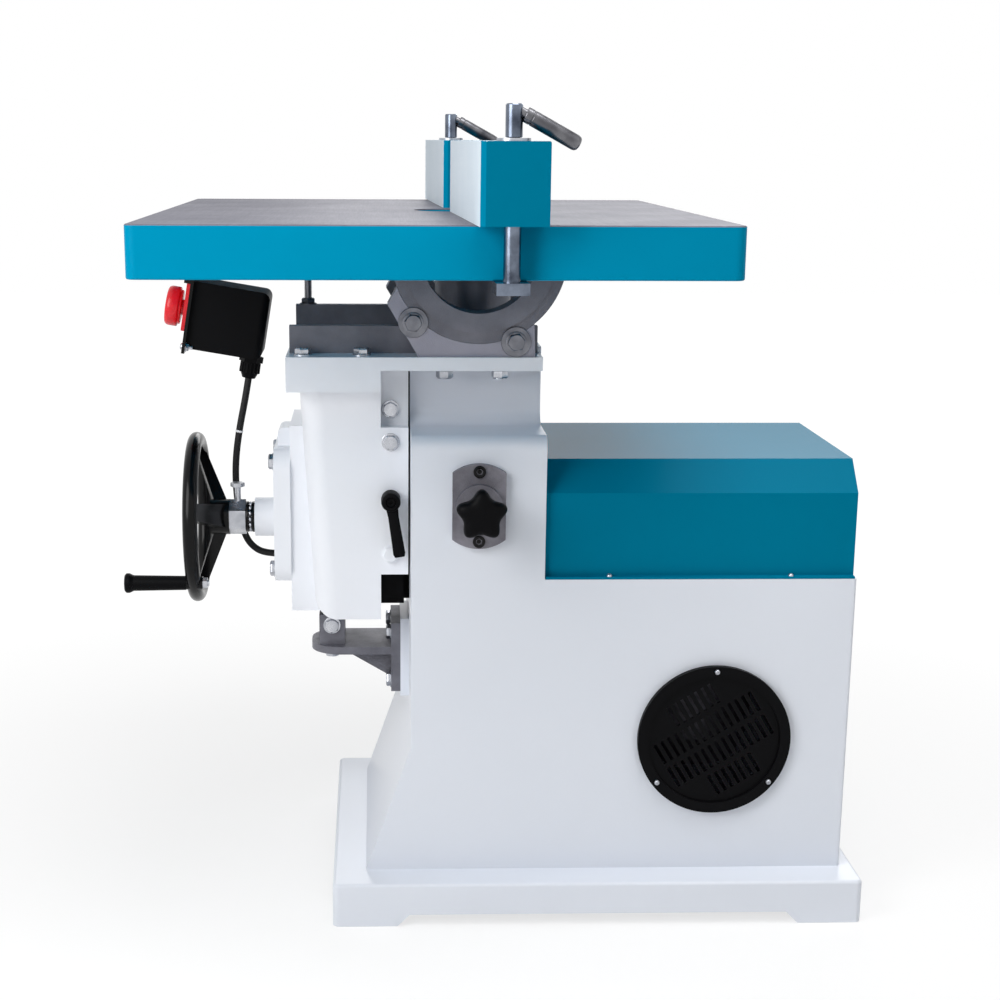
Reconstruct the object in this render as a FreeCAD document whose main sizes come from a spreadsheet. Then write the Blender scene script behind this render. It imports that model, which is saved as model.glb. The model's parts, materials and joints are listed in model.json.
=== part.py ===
import FreeCAD, Part
import math
import os
import re
import Sketcher

# Spindle moulder: a floor-standing woodworking machine with a vertical arbor, a tilting table on a
# lifting knee, a fence across the table, and a belt drive under a sheet cover.
# Frame: +Z up, floor at z = 0, operator at -X, the side with the lock knob at -Y.
# Every outline below is drawn about the spindle axis; spindle_x then moves the whole machine so that
# the origin lies on the floor under the middle of its overall box.

V = FreeCAD.Vector
doc = FreeCAD.newDocument("SpindleMoulder")
sheet = doc.addObject("Spreadsheet::Sheet", "Sizes")
workings = doc.addObject("Spreadsheet::Sheet", "Workings")

SIZES = [
    # base plinth
    ("base_right", 481), ("base_length", 659), ("base_width", 468), ("base_height", 55),
    ("foot_length", 80), ("foot_arch", 15), ("base_corner", 8), ("base_edge", 4),
    # cabinet, column and neck
    ("cabinet_right", 463), ("cabinet_width", 370), ("table_over_cabinet", 432), ("cabinet_wall", 5),
    ("column_width", 162), ("column_rise", 175), ("column_roof", 40), ("flare_reach", 56),
    ("flare_share", 0.87), ("shoulder_round", 16), ("neck_width", 160), ("neck_rise", 95),
    ("neck_cove", 20), ("cabinet_round", 4),
    # guide rail on the operator side of the column
    ("rail_gap", 7), ("rail_flange", 29), ("rail_width", 160), ("rail_stem", 110), ("rail_foot", 12),
    ("rail_stop", 10), ("slide_gap", 0.25),
    # belt cover
    ("cover_gap", 1), ("cover_inset", 3), ("cover_rise", 105), ("cover_bevel", 36), ("cover_sheet", 3),
    ("cover_lip", 8), ("cover_screw_pitch", 222), ("bevel_half", 22.5),
    # ventilation grille
    ("grille_x", 295), ("grille_share", 0.456), ("grille_radius", 95), ("grille_rim", 13),
    ("grille_sheet", 4), ("grille_stand", 4), ("grille_slot_length", 28), ("grille_slot", 4),
    ("grille_bar", 7), ("grille_pitch", 9.5), ("grille_turn", 121), ("grille_hole", 78),
    # spindle and its housing
    ("housing_radius", 48), ("housing_bore", 35), ("housing_sink", 140), ("housing_drop", 72),
    ("bearing_bore", 22), ("bearing_width", 25), ("seat_gap", 0.05), ("run_gap", 0.3),
    ("arbor_radius", 15), ("arbor_sink", 17), ("arbor_length", 80), ("arbor_thread", 15),
    ("arbor_tip_radius", 10), ("arbor_shoulder", 27), ("spindle_shank", 18), ("lock_collar_radius", 35),
    ("lock_collar_width", 40), ("lock_hole_count", 8),
    # belt drive
    ("belt_rise", 35), ("belt_width", 40), ("belt_thick", 6), ("pulley_width", 50),
    ("spindle_pulley_radius", 40), ("motor_pulley_radius", 70), ("motor_x", 292), ("motor_radius", 85),
    ("motor_clear", 95), ("motor_shaft", 14), ("motor_plate_thick", 15), ("motor_hang", 20),
    ("motor_plate_size", 220), ("pulley_flange_gap", 1), ("motor_plate_hole", 16), ("motor_bell", 40),
    ("motor_bell_step", 18), ("terminal_width", 70), ("terminal_sink", 20), ("terminal_out", 35),
    ("terminal_top", 70), ("terminal_foot", 150), ("rotor_sink", 30), ("rotor_end_gap", 2),
    ("rotor_key", 1),
    # spindle lock
    ("lock_drop", 83), ("lock_plate_width", 64), ("lock_plate_height", 103), ("lock_plate_thick", 9),
    ("lock_boss_radius", 28), ("lock_boss", 8), ("lock_pin_radius", 6), ("lock_travel", 15),
    ("lock_rest_gap", 3), ("knob_radius", 31), ("knob_thick", 24), ("knob_stand", 30),
    ("knob_lobe", 11), ("knob_core", 23.3), ("lock_screw_inset", 9),
    # lead screw and its bracket
    ("screw_x", -181), ("screw_radius", 15), ("screw_stop", 70), ("knee_over_shelf", 56),
    ("shelf_thick", 10), ("shelf_width", 94), ("bracket_drop", 53), ("bracket_pad", 11),
    ("pad_margin", 6), ("shelf_left", -208), ("gusset_left", -165), ("gusset_width", 50),
    ("bracket_flange", 12), ("bracket_below", 60), ("bracket_above", 32), ("shelf_round", 40),
    ("post_width", 33), ("post_depth", 66), ("post_height", 40), ("bracket_bolt_end", 14),
    ("bracket_bolt_side", 11), ("post_bolt_side", 8), ("post_bolt_drop", 14), ("post_bolt_grip", 8),
    # knee
    ("table_over_knee", 167), ("knee_plate", 16), ("knee_plate_width", 300), ("knee_left", -231),
    ("arm_right", 77), ("arm_inner", 85), ("knee_flange", 42), ("knee_width", 230),
    ("knee_height", 333), ("knee_left_top", -220), ("knee_left_bottom", -199), ("knee_round", 28),
    ("knee_boss_width", 140), ("knee_boss_drop", 95), ("gear_room", 40), ("gear_room_rise", 60),
    ("screw_room", 2), ("screw_head_room", 15), ("shaft_room", 1),
    # keepers that wrap the rail
    ("keeper_foot", 58), ("keeper_height", 185), ("keeper_lip", 4.4), ("strip_depth", 16),
    ("strip_screw_rise", 20), ("keeper_screw_drop", 18), ("keeper_screw_rise", 26),
    ("keeper_screw_inset", 12),
    # gear housing and hand wheel line
    ("wheel_rise", 108), ("gear_housing_left", -252), ("gear_housing_width", 150),
    ("gear_housing_below", 73), ("gear_housing_above", 99), ("gear_housing_round", 26),
    ("lug_width", 68), ("lug_rise", 22), ("lug_round", 8), ("housing_bolt_foot", 18),
    ("housing_bolt_drop", 16), ("housing_bolt_side", 16), ("housing_bolt_grip", 8), ("boss_left", -280),
    ("boss_radius", 25), ("shaft_radius", 12), ("bush_radius", 16), ("thrust_left", -292),
    ("thrust_radius", 20), ("collar_left", -313), ("collar_radius", 20), ("hub_left", -338),
    ("hub_radius", 23), ("rim_x", -355), ("rim_radius", 100.5), ("rim_section", 9.5),
    ("spoke_count", 3), ("spoke_width", 30), ("spoke_thick", 12), ("grip_end", 442), ("grip_radius", 9),
    ("grip_flare", 12.5), ("grip_bolt", 4), ("grip_angle", 225), ("shaft_stub", 4),
    ("set_screw_radius", 4), ("set_screw_sink", 4), ("set_screw_rise", 20), ("set_screw_head", 5),
    ("set_screw_across", 16), ("spoke_sink", 6), ("spoke_root_thick", 16.8), ("spoke_tip_width", 21.43),
    ("grip_boss", 8.5), ("grip_boss_rise", 2), ("grip_nut", 6), ("grip_nut_across", 12),
    ("grip_bolt_end", 2), ("grip_head_radius", 6.5), ("grip_head", 3), ("grip_head_sink", 1),
    ("grip_lip", 6), ("grip_swell", 1), ("grip_edge", 2), ("grip_head_gap", 0.3),
    ("grip_head_room", 0.5), ("grip_cup", 5),
    # bevel gears inside the knee
    ("pinion_teeth", 12), ("gear_teeth", 24), ("gear_module", 2.6), ("gear_face", 11),
    ("gear_backlash", 0.7), ("gear_nut_radius", 28), ("nut_thrust", 13), ("pinion_hub", 5),
    ("nut_clear", 2), ("tooth_root", 2.99), ("tooth_tip", 2.08), ("tooth_sink", 0.3),
    ("pressure_angle", 20),
    # saddles and trunnion rings
    ("tilt_depth", 46), ("ring_outer", 105), ("ring_inner", 69), ("ring_step", 92),
    ("saddle_front", 145), ("saddle_back", 105), ("ring_proud", 5), ("saddle_left_top", -109),
    ("saddle_left_foot", -72), ("saddle_right", 68), ("saddle_tip_inset", 2), ("saddle_tip_drop", 71.4),
    ("saddle_hook_x", -90.3), ("saddle_hook_drop", 26), ("shoulder_drop", 59), ("web_thick", 15),
    ("web_left", -228), ("web_right", 74), ("web_height", 33), ("rear_web_extra", 8),
    ("clamp_circle", 112), ("clamp_left_angle", 225.5), ("clamp_right_angle", 293.5),
    ("clamp_washer", 18), ("clamp_washer_thick", 3), ("ring_foot", 30), ("ring_foot_thick", 12),
    ("stop_x", -212), ("stop_radius", 5), ("stop_sink", 20), ("stop_nut", 8), ("ring_lug_inset", 4),
    ("ring_foot_lap", 1), ("ring_bolt_inset", 13), ("ring_bolt_grip", 12),
    # table
    ("table_height", 862), ("table_left", -384), ("table_length", 650), ("table_width", 800),
    ("table_depth", 57), ("table_plate", 20), ("table_skirt", 20), ("table_corner", 12),
    ("table_edge", 2), ("hole_left", -75), ("hole_right", 32), ("hole_width", 84), ("rib_thick", 14),
    # fence and clamps
    ("fence_overhang", 40), ("fence_width", 72), ("fence_height", 85), ("fence_x", 3),
    ("fence_skew", 2), ("facing_thick", 6), ("fence_gap", 0.1), ("fence_wall", 10), ("fence_web", 44),
    ("gap_front", -45), ("gap_rear", 75), ("gap_wall", 12), ("clamp_out", 18), ("fence_edge", 2),
    ("notch_over", 1), ("stud_radius", 9), ("hook_width", 35), ("hook_thick", 12.5), ("hook_reach", 50),
    ("clamp_gap", 0.2), ("washer_radius", 17.5), ("washer_thick", 3), ("stud_tip", 6),
    ("post_radius", 8.9), ("post_height_over", 37), ("lever_radius", 8.3), ("lever_drop", 4),
    ("lever_length", 73), ("lever_slope", 28.5), ("lever_neck", 5), ("lever_start", 13), ("lever_lap", 1),
    ("stud_lap", 1), ("stud_tip_rise", 20), ("stud_tip_gap", 1),
    # knee lock lever
    ("lock_lever_x", -105), ("lock_lever_rise", 96), ("lock_lever_hub", 12), ("lock_lever_reach", 70),
    ("lock_lever_lean", 9), ("lock_lever_screw", 5), ("lock_lever_hub_depth", 24),
    ("lock_lever_out", 15), ("lock_lever_root", 7.44), ("lock_lever_tip", 5.4),
    # switch
    ("switch_x", -352), ("switch_y", 50), ("switch_drop", 90), ("switch_tilt", 9.5),
    ("switch_plate", 4), ("switch_tab", 40), ("switch_plate_width", 96), ("switch_plate_drop", 92),
    ("switch_box_depth", 97), ("switch_box_height", 86), ("switch_box_width", 76), ("switch_round", 10),
    ("gland_x", 83), ("gland_radius", 13.5), ("gland_length", 22), ("gland_nut", 8), ("gland_lap", 1),
    ("gland_taper", 7), ("gland_step", 1), ("gland_collar", 2), ("gland_mouth", 5), ("lid_corner", 4),
    ("stop_button_round", 5), ("stop_stem_lap", 2), ("stop_stem_end", 1), ("lid_height", 66),
    ("lid_width", 62), ("lid_thick", 6), ("stop_button_radius", 24), ("stop_button_depth", 20),
    ("stop_button_travel", 5), ("stop_stem", 10), ("stop_button_drop", 39), ("lid_hinge_out", 9),
    ("lid_hinge_radius", 4.5), ("lid_pin_radius", 1.5), ("lid_ear", 4), ("cable_radius", 4.5),
    ("cable_lean", 4), ("cable_straight", 24),
    # fasteners
    ("bolt_radius", 5), ("bolt_across", 17), ("bolt_head", 6.5), ("bolt_grip", 14), ("hole_gap", 0.3),
    ("arm_bolt_left", -40), ("arm_bolt_right", 27), ("arm_bolt_head", 9), ("foot_bolt_near", 20),
    ("foot_bolt_far", 91), ("clamp_bolt_radius", 6), ("clamp_bolt_across", 19), ("clamp_bolt_head", 8),
    ("clamp_bolt_grip", 30), ("screw_size", 2.5), ("screw_head", 3.5), ("screw_head_height", 3),
    ("screw_grip", 4),
]
DERIVED = [
    ("cabinet_top", "=table_height-table_over_cabinet"),
    ("column_top", "=cabinet_top+column_rise"),
    ("neck_top", "=column_top+neck_rise"),
    ("knee_top", "=table_height-table_over_knee"),
    ("knee_bottom", "=knee_top-knee_height"),
    ("shelf_top", "=knee_bottom-knee_over_shelf"),
    ("bracket_foot", "=shelf_top-bracket_below"),
    ("bracket_head", "=shelf_top+bracket_above"),
    ("pad_bottom", "=bracket_foot-pad_margin"),
    ("pad_top", "=bracket_head+pad_margin"),
    ("flare_top", "=base_height+flare_share*(pad_bottom-base_height)"),
    ("rail_bottom", "=knee_bottom+rail_foot"),
    ("rail_top", "=neck_top-rail_stop"),
    ("cover_right", "=cabinet_right-cover_inset"),
    ("cover_width", "=cabinet_width-2*cover_lip"),
    ("cover_eave", "=cabinet_top+cover_rise"),
    ("grille_z", "=base_height+(cabinet_top-base_height)*grille_share"),
    ("housing_bottom", "=neck_top-housing_sink"),
    ("housing_top", "=table_height-housing_drop"),
    ("arbor_foot", "=table_height-arbor_sink"),
    ("arbor_top", "=arbor_foot+arbor_length"),
    ("arbor_tip", "=arbor_top+arbor_thread"),
    ("belt_plane", "=cabinet_top+belt_rise"),
    ("lock_z", "=column_top-lock_drop"),
    ("screw_top", "=knee_top-screw_stop"),
    ("knee_boss_top", "=knee_top-knee_boss_drop"),
    ("gear_roof", "=wheel_z+gear_room_rise"),
    ("keeper_bottom", "=knee_bottom+keeper_foot"),
    ("keeper_top", "=keeper_bottom+keeper_height"),
    ("wheel_z", "=knee_bottom+wheel_rise"),
    ("gear_housing_bottom", "=wheel_z-gear_housing_below"),
    ("gear_housing_top", "=wheel_z+gear_housing_above"),
    ("tilt_z", "=table_height-tilt_depth"),
    ("saddle_shoulder", "=tilt_z-shoulder_drop"),
    ("fence_length", "=table_width+2*fence_overhang"),
    ("clamp_y", "=table_side+clamp_out"),
    ("post_top", "=fence_top+post_height_over"),
    ("lock_lever_z", "=keeper_bottom+lock_lever_rise"),
    ("switch_z", "=table_height-switch_drop"),
    ("motor_length", "=cabinet_top-motor_hang-motor_clear-base_height"),
    ("spindle_x", "=(grip_end-base_right)/2"),
    ("column_side", "=column_width/2"),
    ("cabinet_side", "=cabinet_width/2"),
    ("rail_face", "=-column_side-rail_gap-rail_flange"),
    ("rail_back", "=-column_side-rail_gap"),
    ("knee_right", "=rail_face-slide_gap"),
    ("knee_side", "=knee_width/2"),
    ("arm_side", "=knee_plate_width/2"),
    ("keeper_right", "=rail_back+slide_gap+keeper_lip"),
    ("cover_left", "=column_side+cover_gap"),
    ("cover_side", "=cover_width/2"),
    ("table_right", "=table_left+table_length"),
    ("table_side", "=table_width/2"),
    ("table_under", "=table_height-table_depth"),
    ("plate_under", "=table_height-table_plate"),
    ("fence_top", "=table_height+fence_height"),
    ("lock_seat", "=-cabinet_side-lock_plate_thick"),
    ("knob_back", "=lock_seat-lock_boss-knob_stand"),
    ("pinion_pitch", "=pinion_teeth*gear_module/2"),
    ("gear_pitch", "=gear_teeth*gear_module/2"),
    ("web_front", "=saddle_back"),
    ("web_back", "=saddle_back-web_thick"),
]
for row, (alias, number) in enumerate(SIZES + DERIVED, 1):
    sheet.set(f"A{row}", alias.replace("_", " "))
    sheet.set(f"B{row}", str(number))
    sheet.setAlias(f"B{row}", alias)
doc.recompute()
ALIASES = {alias for alias, number in SIZES + DERIVED}
nodes = []


def scoped(text):
    """Expression text in which every size is read from the sheet."""
    return re.sub(r"[a-z_]+", lambda m: f"Sizes.{m[0]}" if m[0] in ALIASES else m[0], str(text))


def num(text):
    """The number that an expression on the sizes comes to."""
    workings.set("A1", "=" + scoped(text))
    workings.recompute()
    return float(workings.get("A1"))


def bind(obj, **sizes):
    for name, text in sizes.items():
        obj.setExpression(name, scoped(text))
    return obj


def put(obj, x="0", y="0", z="0"):
    for name, text in zip("xyz", (x, y, z)):
        obj.setExpression(f".Placement.Base.{name}", scoped(text))
    return obj


TURNS = {
    "X": FreeCAD.Rotation(V(0, 1, 0), 90),
    "Y": FreeCAD.Rotation(V(1, 0, 0), -90),
    "Z": FreeCAD.Rotation(),
}


def along(obj, axis, centre, start):
    """Stands an upright primitive on an axis: centre gives its other two coordinates in X, Y, Z order."""
    obj.Placement = FreeCAD.Placement(V(), TURNS[axis])
    a, b = centre
    spots = {"X": (start, a, b), "Y": (a, start, b), "Z": (a, b, start)}
    return put(obj, *spots[axis])


def block(x, y, z):
    obj = doc.addObject("Part::Box", "Block")
    bind(obj, Length=f"({x[1]})-({x[0]})", Width=f"({y[1]})-({y[0]})", Height=f"({z[1]})-({z[0]})")
    return put(obj, x[0], y[0], z[0])


def rod(axis, centre, span, radius):
    obj = doc.addObject("Part::Cylinder", "Rod")
    bind(obj, Radius=radius, Height=f"({span[1]})-({span[0]})")
    return along(obj, axis, centre, span[0])


def cone(axis, centre, span, start_radius, end_radius):
    obj = doc.addObject("Part::Cone", "Cone")
    bind(obj, Radius1=start_radius, Radius2=end_radius, Height=f"({span[1]})-({span[0]})")
    return along(obj, axis, centre, span[0])


def hexagon(axis, centre, span, across):
    obj = doc.addObject("Part::Prism", "Hexagon")
    obj.Polygon = 6
    bind(obj, Circumradius=f"({across})/sqrt(3)", Height=f"({span[1]})-({span[0]})")
    return along(obj, axis, centre, span[0])


def fuse(*shapes):
    obj = doc.addObject("Part::MultiFuse", "Join")
    obj.Shapes = list(shapes)
    return obj


def cut(base, *tools):
    obj = doc.addObject("Part::Cut", "Cut")
    obj.Base = base
    obj.Tool = tools[0] if len(tools) == 1 else group(*tools)
    return obj


def group(*shapes):
    obj = doc.addObject("Part::Compound", "Group")
    obj.Links = list(shapes)
    return obj


def tube(axis, centre, span, outer, inner):
    return cut(rod(axis, centre, span, outer), rod(axis, centre, span, inner))


def fillet(base, radius, chosen):
    """Rounds the edges of a shape that the test picks out."""
    doc.recompute()
    reach = num(radius)
    obj = doc.addObject("Part::Fillet", "Round")
    obj.Base = base
    obj.Edges = [(i, reach, reach) for i, edge in enumerate(base.Shape.Edges, 1) if chosen(edge)]
    return obj


def feature(shape):
    obj = doc.addObject("Part::Feature", "Form")
    obj.Shape = shape
    return obj


def node(label, obj, drills=()):
    """Names a finished piece, drills it for its fasteners and stands it in the machine's frame."""
    if drills:
        obj = cut(obj, *drills)
    elif obj.isDerivedFrom("Part::Primitive"):
        obj = group(obj)
    obj.Label = label
    obj.setExpression(".Placement.Base.x", "Sizes.spindle_x")
    nodes.append(obj)
    return obj


def tilted_node(label, obj):
    """A finished piece of the switch, drawn about the switch's own corner and leaned with its plate."""
    obj.Label = label
    obj.Placement = FreeCAD.Placement(V(), FreeCAD.Rotation(V(0, 1, 0), num("switch_tilt")))
    put(obj, "spindle_x+switch_x", "switch_y", "switch_z")
    nodes.append(obj)
    return obj


def along_axis(edge, axis):
    """True for a straight edge that runs along X, Y or Z."""
    if not isinstance(edge.Curve, (Part.Line, Part.LineSegment)):
        return False
    start, end = edge.Vertexes[0].Point, edge.Vertexes[-1].Point
    run = (end - start).normalize()
    return abs(abs(getattr(run, axis.lower())) - 1) < 1e-6


def middle(edge):
    return edge.CenterOfMass


def near(value, text):
    return abs(value - num(text)) < 0.01


def plane(body, role):
    return next(item for item in body.Origin.OriginFeatures if item.Role == role)


def new_body(name):
    return doc.addObject("PartDesign::Body", name)


def sketch(body, role, offset="0"):
    obj = body.newObject("Sketcher::SketchObject", "Outline")
    obj.AttachmentSupport = [(plane(body, role), "")]
    obj.MapMode = "FlatFace"
    obj.setExpression(".AttachmentOffset.Base.z", scoped(offset))
    return obj


def outline(obj, points):
    """A closed run of straight lines through points given as expressions."""
    spots = [V(num(x), num(y), 0) for x, y in points]
    first = obj.GeometryCount
    count = len(points)
    for i in range(count):
        obj.addGeometry(Part.LineSegment(spots[i], spots[(i + 1) % count]), False)
    for i in range(count):
        obj.addConstraint(Sketcher.Constraint("Coincident", first + i, 2, first + (i + 1) % count, 1))
    for i, (x, y) in enumerate(points):
        across = obj.addConstraint(Sketcher.Constraint("DistanceX", -1, 1, first + i, 1, spots[i].x))
        obj.setExpression(f"Constraints[{across}]", scoped(x))
        up = obj.addConstraint(Sketcher.Constraint("DistanceY", -1, 1, first + i, 1, spots[i].y))
        obj.setExpression(f"Constraints[{up}]", scoped(y))
    return obj


def rectangle(obj, x, y):
    return outline(obj, [(x[0], y[0]), (x[1], y[0]), (x[1], y[1]), (x[0], y[1])])


def circle(obj, x, y, radius):
    index = obj.addGeometry(Part.Circle(V(num(x), num(y), 0), V(0, 0, 1), num(radius)), False)
    size = obj.addConstraint(Sketcher.Constraint("Radius", index, num(radius)))
    obj.setExpression(f"Constraints[{size}]", scoped(radius))
    across = obj.addConstraint(Sketcher.Constraint("DistanceX", -1, 1, index, 3, num(x)))
    obj.setExpression(f"Constraints[{across}]", scoped(x))
    up = obj.addConstraint(Sketcher.Constraint("DistanceY", -1, 1, index, 3, num(y)))
    obj.setExpression(f"Constraints[{up}]", scoped(y))
    return obj


def pad(body, profile, length, reverse=False):
    obj = body.newObject("PartDesign::Pad", "Pad")
    obj.Profile = profile
    obj.Reversed = reverse
    bind(obj, Length=length)
    doc.recompute()
    return obj


def pocket(body, profile, length, reverse=False):
    before = body.Shape.Volume
    obj = body.newObject("PartDesign::Pocket", "Pocket")
    obj.Profile = profile
    obj.Reversed = reverse
    bind(obj, Length=length)
    doc.recompute()
    if body.Shape.Volume > before - 0.01:
        raise RuntimeError(f"{body.Name}: a pocket cut nothing")
    return obj


def revolve(body, profile, axis):
    obj = body.newObject("PartDesign::Revolution", "Revolution")
    obj.Profile = profile
    obj.ReferenceAxis = (plane(body, axis), [""])
    obj.Angle = 360
    doc.recompute()
    return obj


def soften(body, radius, chosen):
    """Rounds those edges of a body's last feature that the test picks out."""
    tip = body.Tip
    names = [f"Edge{i}" for i, edge in enumerate(tip.Shape.Edges, 1) if chosen(edge)]
    obj = body.newObject("PartDesign::Fillet", "Fillet")
    obj.Base = (tip, names)
    bind(obj, Radius=radius)
    doc.recompute()
    return obj


def bolt(way, centre, seat, radius="bolt_radius", across="bolt_across", head="bolt_head", grip="bolt_grip"):
    """A hexagon bolt whose head points along way (such as -Y) from its seat, and the hole that it needs."""
    sign, axis = way
    other = "-" if sign == "+" else "+"
    head_span = (seat, f"({seat})+({head})") if sign == "+" else (f"({seat})-({head})", seat)
    tip = f"({seat}){other}({grip})"
    shank_span = (tip, seat) if sign == "+" else (seat, tip)
    piece = fuse(hexagon(axis, centre, head_span, across), rod(axis, centre, shank_span, radius))
    hole = rod(axis, centre, shank_span, f"({radius})+hole_gap")
    return piece, hole


def screw(way, centre, seat):
    """A small round-headed screw and its hole."""
    sign, axis = way
    other = "-" if sign == "+" else "+"
    top = f"({seat}){sign}screw_head_height"
    tip = f"({seat}){other}screw_grip"
    head_span = (seat, top) if sign == "+" else (top, seat)
    shank_span = (tip, seat) if sign == "+" else (seat, tip)
    piece = fuse(rod(axis, centre, head_span, "screw_head"), rod(axis, centre, shank_span, "screw_size"))
    hole = rod(axis, centre, shank_span, "screw_size+hole_gap")
    return piece, hole


# Base plinth: a slab whose underside is arched away between four corner feet.
plinth = new_body("BasePlinth")
left = "base_right-base_length"
pad(plinth, rectangle(sketch(plinth, "XY_Plane"), (left, "base_right"), ("-base_width/2", "base_width/2")),
    "base_height")
soften(plinth, "base_corner", lambda e: along_axis(e, "Z"))
soften(plinth, "base_edge",
       lambda e: near(e.BoundBox.ZMin, "base_height") and near(e.BoundBox.ZMax, "base_height"))
arch = outline(sketch(plinth, "XZ_Plane", "-base_width/2"), [
    (f"{left}+foot_length", "0"), ("base_right-foot_length", "0"),
    ("base_right-foot_length-foot_arch", "foot_arch"), (f"{left}+foot_length+foot_arch", "foot_arch")])
pocket(plinth, arch, "base_width", True)
arch = outline(sketch(plinth, "YZ_Plane", left), [
    ("foot_length-base_width/2", "0"), ("base_width/2-foot_length", "0"),
    ("base_width/2-foot_length-foot_arch", "foot_arch"), ("foot_length+foot_arch-base_width/2", "foot_arch")])
pocket(plinth, arch, "base_length", True)
node("base_plinth", plinth)

# Cabinet: a hollow welded body, flared at the operator's foot, with the column and its neck in one piece.
cabinet = new_body("Cabinet")
side = outline(sketch(cabinet, "XZ_Plane", "-cabinet_side"), [
    ("-column_side-flare_reach", "base_height"), ("cabinet_right", "base_height"),
    ("cabinet_right", "cabinet_top"), ("column_side", "cabinet_top"), ("column_side", "column_top"),
    ("-column_side", "column_top"), ("-column_side", "flare_top")])
pad(cabinet, side, "cabinet_width")
soften(cabinet, "shoulder_round", lambda e: along_axis(e, "X") and near(middle(e).z, "column_top"))
pad(cabinet, rectangle(sketch(cabinet, "XY_Plane", "column_top-column_roof/2"), ("-column_side", "column_side"),
                       ("-neck_width/2", "neck_width/2")), "neck_top-column_top+column_roof/2")
soften(cabinet, "neck_cove", lambda e: along_axis(e, "X") and near(middle(e).z, "column_top")
       and near(abs(middle(e).y), "neck_width/2"))
soften(cabinet, "cabinet_round", lambda e: along_axis(e, "Z") and near(middle(e).x, "cabinet_right"))
room = outline(sketch(cabinet, "XZ_Plane", "cabinet_wall-cabinet_side"), [
    ("cabinet_wall-column_side", "base_height"), ("cabinet_right-cabinet_wall", "base_height"),
    ("cabinet_right-cabinet_wall", "cabinet_top-cabinet_wall"),
    ("column_side-cabinet_wall", "cabinet_top-cabinet_wall"),
    ("column_side-cabinet_wall", "column_top-column_roof"),
    ("cabinet_wall-column_side", "column_top-column_roof")])
pocket(cabinet, room, "cabinet_width-2*cabinet_wall", True)
window = rectangle(sketch(cabinet, "YZ_Plane", "column_side"), ("-cover_side/2", "cover_side/2"),
                   ("belt_plane-pulley_width/2", "belt_plane+pulley_width/2"))
pocket(cabinet, window, "2*cabinet_wall")
pocket(cabinet, circle(sketch(cabinet, "XY_Plane", "cabinet_top"), "motor_x", "0",
                       "motor_pulley_radius+2*belt_thick"), "2*cabinet_wall")
pocket(cabinet, circle(sketch(cabinet, "XZ_Plane", "cabinet_side"), "grille_x", "grille_z", "grille_hole"),
       "2*cabinet_wall")
pocket(cabinet, circle(sketch(cabinet, "XZ_Plane", "cabinet_side"), "0", "lock_z", "lock_pin_radius+run_gap"),
       "2*cabinet_wall")
pocket(cabinet, circle(sketch(cabinet, "XY_Plane", "neck_top"), "0", "0", "housing_radius+seat_gap"),
       "neck_top-column_top+column_roof")
pad(cabinet, rectangle(sketch(cabinet, "YZ_Plane", "-column_side-bracket_pad"),
                       ("-shelf_width/2", "shelf_width/2"), ("pad_bottom", "pad_top")),
    "bracket_pad+cabinet_wall/2")

# Guide rail: a T-shaped bar on the column's operator side; the knee slides on its flange.
rail = new_body("GuideRail")
pad(rail, outline(sketch(rail, "XY_Plane", "rail_bottom"), [
    ("rail_face", "-rail_width/2"), ("rail_back", "-rail_width/2"), ("rail_back", "-rail_stem/2"),
    ("-column_side", "-rail_stem/2"), ("-column_side", "rail_stem/2"), ("rail_back", "rail_stem/2"),
    ("rail_back", "rail_width/2"), ("rail_face", "rail_width/2")]), "rail_top-rail_bottom")
node("guide_rail", rail)

# Belt cover: a folded sheet hood with bevelled shoulders, open below and towards the column.
cover = new_body("BeltCover")
pad(cover, outline(sketch(cover, "YZ_Plane", "cover_left"), [
    ("-cover_side", "cabinet_top"), ("cover_side", "cabinet_top"), ("cover_side", "cover_eave"),
    ("cover_side-cover_bevel", "cover_eave+cover_bevel"), ("cover_bevel-cover_side", "cover_eave+cover_bevel"),
    ("-cover_side", "cover_eave")]), "cover_right-cover_left")
pad(cover, rectangle(sketch(cover, "XY_Plane", "cabinet_top"), ("cover_left", "cover_right"),
                     ("-cover_side-cover_lip", "cover_side+cover_lip")), "cover_sheet")
hollow = outline(sketch(cover, "YZ_Plane", "cover_left"), [
    ("cover_sheet-cover_side", "cabinet_top"), ("cover_side-cover_sheet", "cabinet_top"),
    ("cover_side-cover_sheet", "cover_eave-cover_sheet*tan(bevel_half)"),
    ("cover_side-cover_bevel-cover_sheet*tan(bevel_half)", "cover_eave+cover_bevel-cover_sheet"),
    ("cover_bevel-cover_side+cover_sheet*tan(bevel_half)", "cover_eave+cover_bevel-cover_sheet"),
    ("cover_sheet-cover_side", "cover_eave-cover_sheet*tan(bevel_half)")])
pocket(cover, hollow, "cover_right-cover_left-cover_sheet", True)

# Ventilation grille: a round pressed plate with a raised rim and rows of slanted slots.
grille = new_body("VentGrille")
pad(grille, circle(sketch(grille, "XZ_Plane", "cabinet_side"), "grille_x", "grille_z", "grille_radius"),
    "grille_sheet")
rim = circle(sketch(grille, "XZ_Plane", "cabinet_side"), "grille_x", "grille_z", "grille_radius")
circle(rim, "grille_x", "grille_z", "grille_radius-grille_rim")
pad(grille, rim, "grille_sheet+grille_stand")
slots = sketch(grille, "XZ_Plane", "cabinet_side+grille_sheet")
lean = math.radians(num("grille_turn"))
run = V(math.cos(lean), math.sin(lean), 0)
step = V(math.sin(lean), -math.cos(lean), 0)
reach = num("grille_radius-grille_rim-grille_slot")
half_slot = num("grille_slot_length") / 2
half_wide = num("grille_slot") / 2
spot = V(num("grille_x"), num("grille_z"), 0)
rows = int(reach / num("grille_pitch"))
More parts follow.
